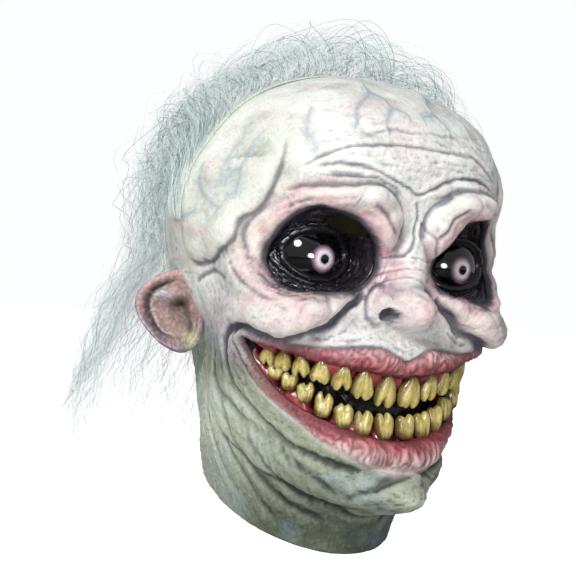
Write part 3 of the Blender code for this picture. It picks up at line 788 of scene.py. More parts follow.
def skin_paint(height, form, masks, s, z, place):
    """The colour of the skin: pale crown, greenish neck and dark airbrushing in every furrow, which also stands
    in for its shade; besides, painted shade in the hollows, low down and on the side away from the key light,
    and painted highlights on the raised forms and on the lit sides of the neck.
    """
    shape = height.shape
    s, z = s.reshape(shape), z.reshape(shape)
    place = place.reshape(*shape, 3)
    get = {name: field.reshape(shape) for name, field in masks.items()}
    form = form.reshape(shape)
    small = blurred(height, 2) - height
    large = blurred(height, 6) - height
    broad = blurred(form, round(7 / FRONT_STEP)) - form
    wide = blurred(form, round(13 / FRONT_STEP)) - form
    lumps, spots = noise3(place, 28, 51), noise3(place, 9, 52)
    mottle = noise3(place, 4.5, 53)

    def layer(colour, over, share):
        return mix(colour, over, np.clip(share, 0, 1)[..., None])

    colour = np.broadcast_to(CREAM, (*shape, 3)).copy()
    x, y = place[..., 0], place[..., 1]
    sides = ease(50, 85, abs(x)) * ease(110, 150, z)
    colour = layer(colour, PALE_GREEN, 0.45 * sides + 0.18 * lumps + 0.10 * spots)
    low = ease(118, 74, z + 12 * lumps)
    colour = layer(colour, NECK_GREEN, 0.95 * low)
    # Painted shade: darker towards the bottom of the neck's front and low on its back.
    shade = 0.85 * ease(54, -20, z + 10 * lumps) * ease(50, 0, y) + 0.25 * ease(50, 100, y) * ease(120, 60, z)
    # Painted light: the sides of the neck behind the jaw are paler, as where the light falls on them.
    lit_neck_sides = ease(35, 55, abs(x)) * ease(-45, -10, y) * ease(80, 45, z) * ease(-25, 10, z)
    colour = layer(colour, PALE_GREEN, 0.85 * lit_neck_sides)
    # Painted shade in the hollow behind the jaw.
    jowl_shade = bell(abs(x) - 88, 14) * bell(z - 92, 26) * ease(30, -10, y)
    colour = layer(colour, WASH_AND_SHADE, 0.6 * jowl_shade)
    # Painted shade in the dark green, also low on the mask's left side, away from the key light.
    colour = layer(colour, SHADE_GREEN, shade + 0.45 * ease(-10, 60, x) * ease(70, 20, z))
    colour = layer(colour, PALE_GREEN, 0.75 * bell(x - 13, 30) * bell(z - 15, 15) * (y < -60))
    flush = ease(30, 8, get["eye"]) * (0.85 + 0.5 * spots)
    flush = np.maximum(flush, 1.3 * bell(x - 4, 14) * bell(z - 127, 14) * (y < -100))
    flush = np.maximum(flush, 0.75 * bell(abs(x) - 66, 26) * bell(z - 120, 20) * (y < -20))
    flush = np.maximum(flush, 0.35 * np.clip(1.5 * noise3(place, 16, 54), 0, 1) * ease(60, 100, z))
    colour = layer(colour, FLUSH, 0.85 * flush * (0.8 + 0.4 * mottle))
    chill = np.clip(1.6 * noise3(place, 20, 55), 0, 1) * ease(215, 185, z)
    colour = layer(colour, VEIN_BLUE, 0.30 * chill)
    patches = np.clip(1.8 * noise3(place, 13, 57) - 0.3, 0, 1)
    colour = layer(colour, FLUSH, 0.40 * patches * ease(100, 125, z) * ease(190, 160, z))
    patches = np.clip(1.8 * noise3(place, 11, 58) - 0.3, 0, 1)
    colour = layer(colour, NECK_GREEN, 0.30 * patches)
    ball = bell(x - 3, 15) * bell(z - 127, 14) * (y < -108)
    colour = layer(colour, mix(FLUSH, DEEP_FLUSH, 0.35), 0.75 * ball * (0.85 + 0.4 * mottle))
    colour = layer(colour, DEEP_FLUSH, 0.45 * ease(12, 4, get["eye"]) * (0.6 + 0.8 * spots))
    colour = layer(colour, VEIN_BLUE, 0.75 * get["vein"] + 0.25 * blurred(get["vein"], 3))
    # Dark airbrushing in every furrow, fine and broad, stronger low down and round the eyes; it also stands in
    # for the furrows' shade, and in the deepest it is nearly black, as painted shade.
    shading_wash = mix(WASH_AND_SHADE, paint(0.27, 0.31, 0.26), ease(112, 76, z)[..., None])
    strength = mix(0.5, 0.9, np.maximum(ease(125, 85, z), ease(14, 4, get["eye"])))
    colour = layer(colour, shading_wash, strength * np.clip(1.8 * (small - 0.04), 0, 0.85))
    colour = layer(colour, shading_wash, strength * np.clip(0.7 * (large - 0.12), 0, 0.75))
    colour = layer(colour, shading_wash, 0.42 * strength * blurred(get["crease"], 2) * (0.7 + 0.3 * mottle))
    colour = layer(colour, DARK_WASH_AND_SHADE, 0.55 * strength * np.clip(1.3 * (large - 0.6), 0, 1))
    by_nose = place - (NOSE_SIDEWAYS, 0, 0)
    # Painted shade round each wing of the nose.
    wing_shade = bell(abs(by_nose[..., 0]) - 20, 6) * bell(z - 130, 11) * (y < -95)
    colour = layer(colour, WASH_AND_SHADE, 0.45 * wing_shade * (0.7 + 0.5 * mottle))
    # Painted shade: the nostrils' dents are painted nearly black.
    nostril = [in_oval(by_nose, NOSTRIL[0], NOSTRIL[1], -18, side) for side in (1, -1)]
    colour = layer(colour, DARK_WASH_AND_SHADE * 0.4, (y < -80) * ease(1.3, 0.75, np.minimum(*nostril)))
    # Painted shade in the face's broad hollows, less of it above the upper lip.
    hollow = np.clip(0.34 * (broad - 0.6), 0, 0.8) + np.clip(0.10 * (wide - 1.4), 0, 0.4)
    hollow = hollow * (y < -20) * (1 - 0.85 * bell(x - 6, 40) * bell(z - 107, 11))
    colour = layer(colour, shading_wash, 0.60 * hollow * (0.8 + 0.3 * mottle))
    # Painted highlight on the face's broad raised forms.
    raised = np.clip(0.16 * (-broad - 0.6), 0, 0.6) * ease(100, 125, z)
    colour = layer(colour, HIGHLIGHT, 0.5 * raised)
    # Painted highlight: the skin just above the upper lip is brought back to cream.
    colour = layer(colour, CREAM, 0.6 * bell(x - 6, 26) * bell(z - 113, 9) * (y < -90))
    # Painted light: paler low on the mask's right side, towards the key light.
    colour = layer(colour, PALE_GREEN, 0.40 * ease(-45, -80, x) * ease(85, 60, z))
    # Pale dry-brushing on the fine crests, which also stands in for their highlight.
    lit = strength * np.clip(2.0 * (-small - 0.04), 0, 1) * (0.75 + 0.4 * mottle)
    colour = layer(colour, HIGHLIGHT, 0.75 * lit * mix(1, 0.22, low))
    ring = 0.30 * ease(6, 2, get["eye"] + 2 * spots) + 0.70 * ease(3.2, 0.4, get["eye"] + 1.2 * spots)
    colour = layer(colour, DARK_WASH_AND_SHADE, 0.95 * ring)
    lips = get["lip"]
    # The lips are dry-brushed paler on their crests, which also stands in for their highlight; their cracks are
    # darker red, which also stands in for the cracks' shade.
    pale = (0.12 + 0.20 * (z < 80) + np.clip(-1.2 * small, 0, 0.35)) * ease(3, 14, get["mouth"])
    lip_colour = mix(LIP_PINK, HIGHLIGHT, pale[..., None])
    inner = 0.75 * ease(7, 0, get["mouth"]) + 0.8 * get["crack"] + 0.35 * np.clip(noise3(place, 6, 56), 0, 1)
    lip_colour = mix(lip_colour, LIP_RED, np.clip(inner, 0, 0.9)[..., None])
    centred = ease(56, 34, abs(s) / ARC - 4 * (z < 90))
    colour = mix(colour, lip_colour, (lips * (0.9 + 0.1 * mottle) * (0.2 + 0.8 * centred))[..., None])
    # Painted shade in the groove along the upper lip's edge, away from its middle.
    colour = layer(colour, WASH_AND_SHADE, 0.4 * get["outline"] * ease(0, 25, abs(s)) * (z > 85))
    colour = layer(colour, mix(CREAM, FLUSH, 0.4), 0.65 * get["outline"] * (z < 80) * centred)
    return colour.reshape(-1, 3)


# ---- building in Blender ----


def to_frame(points):
    """Metres in the frame, from millimetres about the head's axis."""
    return (np.asarray(points) + HEAD_AXIS) * MM


def from_frame(points):
    return np.asarray(points) / MM - HEAD_AXIS


def mesh_object(name, points, faces, finish, colours=None, turn_out=True):
    """A piece from points in millimetres about the head's axis, riding on the one body."""
    mesh = bpy.data.meshes.new(name)
    mesh.from_pydata(to_frame(points).tolist(), [], [list(map(int, f)) for f in faces])
    if colours is not None:
        layer = mesh.attributes.new("paint", "FLOAT_COLOR", "POINT")
        layer.data.foreach_set("color", np.c_[colours, np.ones(len(colours))].astype(np.float32).ravel())
    mesh.update()
    if turn_out:
        bm = bmesh.new()
        bm.from_mesh(mesh)
        bmesh.ops.recalc_face_normals(bm, faces=bm.faces)
        bm.to_mesh(mesh)
        bm.free()
    mesh.shade_smooth()
    mesh.materials.append(finish)
    piece = bpy.data.objects.new(name, mesh)
    bpy.context.scene.collection.objects.link(piece)
    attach(piece, "root")
    return piece


def thickened(piece, thickness, offset=-1):
    """Gives a sheet a wall, in millimetres, behind its face or, with offset 1, before it."""
    wall = piece.modifiers.new("wall", "SOLIDIFY")
    wall.thickness, wall.offset = thickness * MM, offset


# Each ring of a rolled edge: how far inwards of the opening's edge it lies, and how deep.
MOUTH_ROLL = ((1.0, 0.5), (1.7, 1.6), (1.7, 3.0), (0.8, 4.4))
SOCKET_ROLL = ((0.7, 0.6), (1.0, 1.8), (0.6, 3.2), (-0.6, 4.6))
ROLL_KEEPS = (0.8, 0.5, 0.25, 0.0)  # how much of the sculpted height each ring keeps
OPENINGS = (
    (MOUTH_LINE, MOUTH_ROLL, LIP_RED),
    (SOCKET_LINES[-1], SOCKET_ROLL, DARK_WASH_AND_SHADE),
    (SOCKET_LINES[1], SOCKET_ROLL, DARK_WASH_AND_SHADE),
)


def inner_wall():
    """The plainer inner face: its arcs and heights, its points, its rows and its columns."""
    heights = over_dome(np.linspace(LOWEST, SHOULDER, 44), np.linspace(0, math.pi / 2, 14)[1:-1])
    s, z = np.meshgrid(np.linspace(-180 * ARC, 180 * ARC, 91)[:-1], heights)
    rows, columns = s.shape
    s, z, rim = s.ravel(), slid_to_rim(s, z).ravel(), rim_height(s).ravel()
    place, normal = head_frame(s, z)
    above_rim = ease(3, 22, z - rim)
    thickness = mix(SKIN_THICKNESS, 7.5, above_rim * ease(-10, -50, place[:, 1]))
    thickness = np.maximum(thickness, SKIN_THICKNESS + above_rim)
    points = place - thickness[:, None] * normal
    points[:, 1] += 9.0 * bell(points[:, 0], 26) * bell(points[:, 2] - 127, 20) * (points[:, 1] < -60)
    return np.c_[s, z], points, rows, columns


def smoothed(ring, times):
    """Values round a closed ring, eased towards their neighbours."""
    for _ in range(times):
        ring = (np.roll(ring, 1, 0) + 2 * ring + np.roll(ring, -1, 0)) / 4
    return ring


def away_from(line, s, z, step=0.3):
    """Unit directions, as (arc, height), that lead straight away from an outline."""
    slope_s = outside(s + step, z, line, REACH)[0] - outside(s - step, z, line, REACH)[0]
    slope_z = outside(s, z + step, line, REACH)[0] - outside(s, z - step, line, REACH)[0]
    slope = smoothed(np.stack([slope_s, slope_z], -1), 4)
    return slope / np.maximum(np.linalg.norm(slope, axis=1, keepdims=True), 1e-6)


def nearest_loop(loops, spots, line):
    """The loop whose middle is nearest the middle of an outline."""
    goal = line.mean(0)
    return min(loops, key=lambda loop: np.linalg.norm(spots[loop].mean(0) - goal))


def build_skin(finish):
    """The sculpted latex: an outer face, rolled edges at the openings, and a plainer inner face."""
    s, z = skin_grid()
    rows, columns = s.shape
    s, z = wrapped(s.ravel()), z.ravel()
    distance = snap_to_openings(s, z)
    place, normal = head_frame(s, z)
    height, masks = relief(s, z, place)
    outer = place + normal * height[:, None]
    form = height + plain_face(s, z)[:, 1] - place[:, 1]
    colours = skin_paint(height.reshape(rows, columns), form, masks, s, z, place)
    top = range(len(outer) - columns, len(outer))
    faces = face_lists(faces_of(rows, columns, distance >= 0)) + fan(top, len(outer))
    loops = open_loops(faces)
    rim = next(loop for loop in loops if max(loop) < columns)

    wall_spots, wall, wall_rows, wall_columns = inner_wall()
    first = len(outer) + 1
    end = first + len(wall)
    kept = openings(*wall_spots.T) > 3.0
    wall_faces = face_lists(faces_of(wall_rows, wall_columns, kept), first)
    wall_faces += fan(range(end - wall_columns, end), end)
    wall_loops = open_loops(wall_faces)
    wall_rim = next(loop for loop in wall_loops if max(loop) < first + wall_columns)

    points = np.vstack([outer, outer[-columns:].mean(0), wall, wall[-wall_columns:].mean(0)])
    colours = np.vstack([colours, colours[-columns], np.tile(LATEX_INSIDE, (len(wall) + 1, 1))])
    pole = (0.0, SKULL_TOP)
    spots = np.vstack([np.c_[s, z], pole, wall_spots, pole])
    round_head = spots[:, 0] / (360 * ARC) + 0.5
    faces += wall_faces + zip_rings(rim, round_head[rim], wall_rim, round_head[wall_rim])
    loops = [loop for loop in loops if loop is not rim]
    wall_loops = [loop for loop in wall_loops if loop is not wall_rim]
    for line, roll, tint in OPENINGS:
        loop, wall_loop = nearest_loop(loops, spots, line), nearest_loop(wall_loops, spots, line)
        away = away_from(line, *spots[loop].T)
        lift = smoothed(height[loop], 2)
        before = loop
        for (inwards, deep), keeps in zip(roll, ROLL_KEEPS):
            place, normal = head_frame(*(spots[loop] - inwards * away).T)
            now = list(range(len(points), len(points) + len(loop)))
            points = np.vstack([points, place + normal * (keeps * lift - deep)[:, None]])
            colours = np.vstack([colours, mix(colours[before], tint * 0.5, 0.4)])
            faces += sleeve(before, now)
            before = now
        shares = [along_line(*spots[ring].T, line, 400.0)[2] for ring in (loop, wall_loop)]
        faces += zip_rings(before, shares[0], wall_loop, shares[1])
    points, faces, colours = without_loose(points, faces, colours)
    piece = mesh_object("latex_skin", points, faces, finish, colours=colours)
    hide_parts("head_skin")


# ---- eyes ----

EYE_RADIUS = 26.0
EYE_NUDGE = {"right": 0.0, "left": 4.5}  # one eye sits a little further out than its solid
LID_OPENING = (21.6, 14.6)
LID_SPREAD = 0.2
LID_RISE = 2.0
CUP_SAG = 4.0
CUP_THICKNESS = 1.2
VIEW_SLOT = (-15.5, 21.5)  # the slot's centre from the eye's, towards the nose and up
VIEW_SLOT_HALF_SIZE = (15.0, 4.6)
VIEW_SLOT_TILT = math.radians(14)
GAZE = {"right": (0.04, -0.02), "left": (0.10, -0.03)}  # how far each eye looks to the mask's left, and up
SOCKET_BLACK = paint(0.075, 0.065, 0.085)
SOCKET_PURPLE = paint(0.22, 0.17, 0.23)
BRUSHED_GREY = paint(0.44, 0.44, 0.50)


def eye_centre(name):
    """The middle of the ball that an eye's dome is cut from."""
    low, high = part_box(f"{name}_eye")
    low, high = from_frame(low), from_frame(high)
    return np.array([(low[0] + high[0]) / 2 + EYE_NUDGE[name], low[1] + EYE_RADIUS, (low[2] + high[2]) / 2])


def in_slot(side, x, z):
    """Under 1 inside the slit that the wearer looks through; x and z are from the eye's centre."""
    along, over = swung(side * x - VIEW_SLOT[0], z - VIEW_SLOT[1], -VIEW_SLOT_TILT)
    return np.hypot(along / VIEW_SLOT_HALF_SIZE[0], over / VIEW_SLOT_HALF_SIZE[1])


def build_eye_cup(name, side, finish):
    """The black cup round an eye: thick lids on the ball, then a wrinkled wall out to the socket's edge."""
    steps, rings = 168, 56
    centre = eye_centre(name)
    line = through([(side * a + SOCKET_SIDEWAYS, z) for a, z in SOCKET], 16, closed=True)[:-1]
    rim_place, rim_normal = head_frame(line[:, 0], line[:, 1])
    rim = rim_place - 4.2 * rim_normal
    angle = np.arctan2(rim[:, 2] - centre[2] - LID_RISE, side * (rim[:, 0] - centre[0]))
    order = np.argsort(angle)
    turn = np.linspace(-math.pi, math.pi, steps, endpoint=False)
    rim = np.stack([np.interp(turn, angle[order], rim[order, k], period=2 * math.pi) for k in range(3)], -1)
    t, share = np.meshgrid(turn, np.linspace(0, 1, rings))
    lid_share = np.clip(share / 0.3, 0, 1)
    spread = 1 + LID_SPREAD * lid_share
    reach = EYE_RADIUS + 0.5
    x = LID_OPENING[0] * np.cos(t) * spread
    z = LID_OPENING[1] * np.sin(t) * spread + LID_RISE
    out = np.sqrt(np.maximum(reach**2 - x**2 - z**2, 36.0))
    ray = np.stack([side * x, -out, z], -1)
    ray /= np.linalg.norm(ray, axis=-1, keepdims=True)
    lid = centre + ray * reach
    wall_share = np.clip((share - 0.3) / 0.7, 0, 1)
    points = mix(lid, rim[None], wall_share[..., None])
    points[..., 1] += CUP_SAG * np.sin(math.pi * wall_share)
    warp = noise2(t * 2.2, share * 4, 61 + side) * 0.05 + noise2(t * 6, share * 9, 62 + side) * 0.02
    folds = ridges(noise2((share + warp) * 17, t * 1.9 + side * 5, 63))
    fine = ridges(noise2((share + warp) * 36, t * 5 + side * 5, 64))
    lid_roll = 2.6 * np.sin(math.pi * np.clip(share / 0.17, 0, 1)) * np.where(z > LID_RISE, 1.25, 0.9)
    pouch = 1.6 * np.sin(math.pi * np.clip((share - 0.2) / 0.22, 0, 1)) * np.where(z > LID_RISE, 0.7, 1.3)
    cover = ease(0.02, 0.1, share) * ease(1.0, 0.93, share)
    height = lid_roll + pouch - cover * (1.5 * (1 - folds) + 0.6 * (1 - fine))
    points = points + ray * height[..., None]
    back = points[0] + (centre - points[0]) * 0.10
    slot = in_slot(side, points[..., 0] - centre[0], points[..., 2] - centre[2])
    points[..., 1] -= 1.4 * bell(slot - 1.25, 0.3)
    # The folds are painted black and their crests dry-brushed grey; these also stand in for the folds' shade and
    # the crests' highlight.
    dark = np.clip(1.1 * (1 - folds) + 0.5 * (1 - fine), 0, 1)
    brushed = np.clip(0.5 * folds * fine * (0.55 + 0.6 * noise3(points, 6, 66)), 0, 1) * ease(0.1, 0.3, share)
    colours = mix(SOCKET_BLACK, SOCKET_PURPLE, (ease(0.15, 1, share) * 0.8)[..., None])
    colours = mix(colours, BRUSHED_GREY, (0.75 * brushed)[..., None])
    colours = mix(colours, SOCKET_BLACK, (0.8 * dark)[..., None])
    start = rings * steps
    faces = face_lists(faces_of(rings, steps, (slot >= 1).ravel()))
    faces += sleeve(range(steps), range(start, start + steps))
    points = np.vstack([points.reshape(-1, 3), back])
    shades = np.vstack([colours.reshape(-1, 3), np.tile(SOCKET_BLACK * 0.5, (steps, 1))])
    points, faces, shades = without_loose(points, faces, shades)
    piece = mesh_object(f"{name}_lids", points, faces, finish, colours=shades)
    thickened(piece, CUP_THICKNESS)
    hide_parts(f"{name}_eye_cup")


def build_eye(name, finish):
    """A glossy dome whose rings run round its gaze, so that the iris can be coloured by them."""
    centre = eye_centre(name)
    gaze = np.array([GAZE[name][0], -1.0, GAZE[name][1]])
    gaze /= np.linalg.norm(gaze)
    across = np.cross(gaze, (0, 0, 1.0))
    across /= np.linalg.norm(across)
    up = np.cross(across, gaze)
    steps, rings = 96, 64
    tilt = np.concatenate([np.linspace(0.01, 0.6, 44), np.linspace(0.63, 1.32, 20)])
    t, a = np.meshgrid(np.linspace(0, 2 * math.pi, steps, endpoint=False), tilt)
    radius = EYE_RADIUS + 0.9 * bell(a, 0.36)
    beside = np.cos(t)[..., None] * across + np.sin(t)[..., None] * up
    ray = np.cos(a)[..., None] * gaze + np.sin(a)[..., None] * beside
    points = centre + ray * radius[..., None]
    points = np.vstack([points.reshape(-1, 3), centre + gaze * (EYE_RADIUS + 0.9)])
    faces = whole_faces(rings, steps).tolist() + fan(range(steps), rings * steps)
    ring = np.append(a.ravel(), 0.0)
    turned = np.append(t.ravel(), 0.0)
    streak = noise2(np.cos(turned) * 5 + 3 * ring, np.sin(turned) * 5 + 3 * ring, 71)
    spoke = noise2(turned * 9, ring * 6, 72)
    iris = ease(0.37, 0.24, ring + 0.012 * streak)
    white = ease(0.29, 0.16, ring + 0.02 * streak)
    pupil = ease(0.13, 0.10, ring + 0.004 * streak)
    rim = bell(ring - 0.13, 0.02)
    black, halo, pale = paint(0.02, 0.02, 0.025), paint(0.66, 0.50, 0.60), paint(0.93, 0.92, 0.94)
    colours = mix(black, halo, (iris * (0.8 + 0.2 * streak))[:, None])
    colours = mix(colours, pale, (white * (0.9 + 0.1 * spoke))[:, None])
    colours = mix(colours, halo, (0.35 * white * np.clip(spoke, 0, 1))[:, None])
    colours = mix(colours, paint(0.35, 0.3, 0.4), (0.3 * rim)[:, None])
    colours = mix(colours, black, pupil[:, None])
    piece = mesh_object(f"{name}_eyeball", points, faces, finish, colours=colours)
    thickened(piece, 1.6)
    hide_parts(f"{name}_eye")


# ---- teeth, gums and the mouth's lining ----

TOOTH_SIZES = {  # width and height of each tooth, from the middle outwards
    "upper": ((14.6, 19.5), (14.0, 18.0), (12.6, 15.5), (12.2, 14.5), (11.8, 14.0), (11.4, 13.0), (10.6, 12.0)),
    "lower": ((13.0, 15.5), (12.4, 15.0), (12.0, 15.0), (11.8, 14.0), (11.4, 12.5), (10.8, 11.0), (9.6, 9.0)),
}
TOOTH_DEPTH = 7.0
TOOTH_YELLOW = paint(0.76, 0.68, 0.34)
TOOTH_PALE = paint(0.88, 0.83, 0.56)
TOOTH_BROWN = paint(0.33, 0.21, 0.07)
GUM_PINK = paint(0.70, 0.30, 0.32)
GUM_RED = paint(0.42, 0.12, 0.14)


def pillow(cuts):
    """A ball of square faces: unit directions and quads."""
    bm = bmesh.new()
    bmesh.ops.create_cube(bm, size=2)
    bmesh.ops.subdivide_edges(bm, edges=bm.edges, cuts=cuts, use_grid_fill=True)
    bm.verts.index_update()
    points = np.array([v.co[:] for v in bm.verts])
    faces = [[v.index for v in f.verts] for f in bm.faces]
    bm.free()
    return points, faces


TOOTH_PILLOW = pillow(13)


def build_tooth(row, side, number, finish):
    """An uneven, worn tooth: narrow at the root, ridged down its face, chipped at the tip, stained."""
    name = f"{row}_tooth_{'left' if side > 0 else 'right'}_{number}"
    low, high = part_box(name)
    centre = (from_frame(low) + from_frame(high)) / 2
    width, tall = TOOTH_SIZES[row][number - 1]
    seed = number * 7 + (3 if side > 0 else 0) + (50 if row == "upper" else 0)
    chance = np.array([scatter(np.array(seed), np.array(k), np.array(5), 81) for k in range(10)])
    cube, faces = TOOTH_PILLOW
    size = (np.abs(cube) ** 3.4).sum(1, keepdims=True) ** (1 / 3.4)
    p = cube / size
    a, d, b = p[:, 0], p[:, 1], p[:, 2]
    grow = 0.98 + 0.12 * chance[0]
    tip = (b + 1) / 2  # 0 at the root, 1 at the biting edge
    outline = 0.42 + 0.62 * np.sin(np.clip(tip * 1.2, 0, 1) * math.pi / 2) - 0.20 * ease(0.72, 1.05, tip)
    if row == "lower":
        outline = 0.78 + 0.26 * np.sin(np.clip(tip * 1.3, 0, 1) * math.pi / 2) - 0.22 * ease(0.7, 1.05, tip)
    x = a * outline * width / 2 * grow
    notch_at = 0.5 * (chance[1] - 0.5)
    notch = (0.12 + 0.22 * chance[2]) * bell(a - notch_at, 0.26)
    slope = 0.16 * (chance[3] - 0.5) * a
    chip = 0.10 * bell(a - (1.6 * chance[4] - 0.8), 0.22)
    length = tall * (1.06 + 0.10 * chance[5])
    z = (b - ease(0.55, 1.0, tip) * (notch + slope + chip) * 1.6) * length / 2
    thick = TOOTH_DEPTH / 2 * (0.62 + 0.38 * (1 - tip**2))
    grooves = ridges(noise2(a * 2.6 + 9 * chance[6], tip * 0.8, 82 + seed))
    front = np.clip(-d, 0, 1)
    y = d * thick - 1.7 * front * np.sqrt(np.clip(1 - a * a, 0, 1)) + 0.55 * front * (1 - grooves)
    y += 0.35 * front * bell(a - notch_at, 0.25) * tip * 2
    turn = 0.24 * (chance[7] - 0.5)
    x, z = swung(x, z, turn)
    if row == "upper":
        z = -z
    azimuth = math.atan2(centre[0], -centre[1]) + 0.2 * (chance[8] - 0.5)
    out = 1.4 * chance[9] - 0.2
    x, y = swung(x, y - out, azimuth)
    place = centre + np.stack([x, y, z], -1)
    patch, speck = noise3(place, 4.5, 83), noise3(place, 1.5, 84)
    colours = mix(TOOTH_YELLOW, TOOTH_PALE, (0.45 + 0.5 * patch)[:, None].clip(0, 1))
    root = ease(0.42, 0.02, tip + 0.1 * patch)
    stain = 0.9 * root + 0.5 * (1 - grooves) + 0.8 * ease(0.55, 0.97, np.abs(a)) + 0.3 * ease(0.35, 0.8, speck)
    colours = mix(colours, TOOTH_BROWN, np.clip(stain * 0.85, 0, 0.9)[:, None])
    piece = mesh_object(f"shaped_{name}", place, faces, finish, colours=colours)
    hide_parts(name)
    return math.degrees(azimuth)


def mouth_edge(upper, azimuth):
    """Height of the mouth's upper or lower edge at an azimuth in degrees."""
    knots, values = zip(*(MOUTH_TOP if upper else MOUTH_BOTTOM))
    return spline(knots, values, np.abs(azimuth))


def build_gum(upper, teeth, finish):
    """A wet gum under a lip: it swells between the teeth and draws back round each root."""
    name = "upper_gum" if upper else "lower_gum"
    steps, rings = 360, 26
    azimuth, share = np.meshgrid(np.linspace(-53, 53, steps), np.linspace(0, 1, rings))
    edge = mouth_edge(upper, azimuth)
    towards = -1 if upper else 1
    bank = np.zeros(azimuth.shape)
    for at, width in teeth:
        bank = np.maximum(bank, bell(azimuth - at, width / 3.2))
    length = 4.5 + 6.0 * (1 - bank) * ease(56, 40, np.abs(azimuth))
    beside = ease(25, 36, np.abs(azimuth))
    hidden = mix(6.0, 2.5, beside)
    z = edge + towards * (-hidden + (hidden + length) * share)
    place, normal = head_frame(azimuth * ARC, z, surface=plain_face)
    jaw = 4.6 + 3.0 * share**2 - 2.6 * np.sin(math.pi * share) * (1 - bank) + 2.6 * bank * ease(0.35, 0.8, share)
    jaw += 0.25 * noise3(place, 2.6, 91) + 6.0 * ease(0.9, 1.0, share) + 1.8 * beside * ease(0.4, 0.0, share)
    points = place - normal * jaw[..., None]
    wet = noise3(place, 3.5, 92)
    red = 0.35 + 0.4 * wet + 0.6 * ease(0.6, 1, share) + 0.4 * bank
    colours = mix(GUM_PINK, GUM_RED, np.clip(red, 0, 1)[..., None]).reshape(-1, 3)
    flat, faces = points.reshape(-1, 3), sheet(rings, steps)
    piece = mesh_object(f"moulded_{name}", flat, faces, finish, colours=colours)
    thickened(piece, 1.2, 1 if upper else -1)
    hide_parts(name)


def build_lining(finish):
    """The black bowl behind the teeth, shaped like a palate with shallow lumps."""
    line = MOUTH_LINE[:-1]
    middle = np.array([0.0, 76.0])
    share = np.linspace(0.03, 1.05, 34)[:, None, None]
    spots = middle + (line - middle)[None] * share
    place, normal = head_frame(spots[..., 0], spots[..., 1], surface=plain_face)
    deep = 12 + 17 * (1 - np.clip(share[..., 0], 0, 1) ** 5) + 0.9 * noise3(place, 7, 95)
    deep = deep - 7.0 * ease(0.93, 1.05, share[..., 0])
    points = place - normal * deep[..., None]
    rings, steps = points.shape[:2]
    flat = points.reshape(-1, 3)
    faces = whole_faces(rings, steps).tolist() + [list(range(steps - 1, -1, -1))]
    piece = mesh_object("moulded_lining", flat, faces, finish)
    thickened(piece, 1.2)
    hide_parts("mouth_lining")


# ---- ears ----

EAR_FLARE = math.radians(48)
EAR_LEAN = math.radians(27)
EAR_HALF_SIZE = (24.5, 26.0)
EAR_SHIFT = 14.0  # how much further forward the shaped ear sits than the middle of its solid


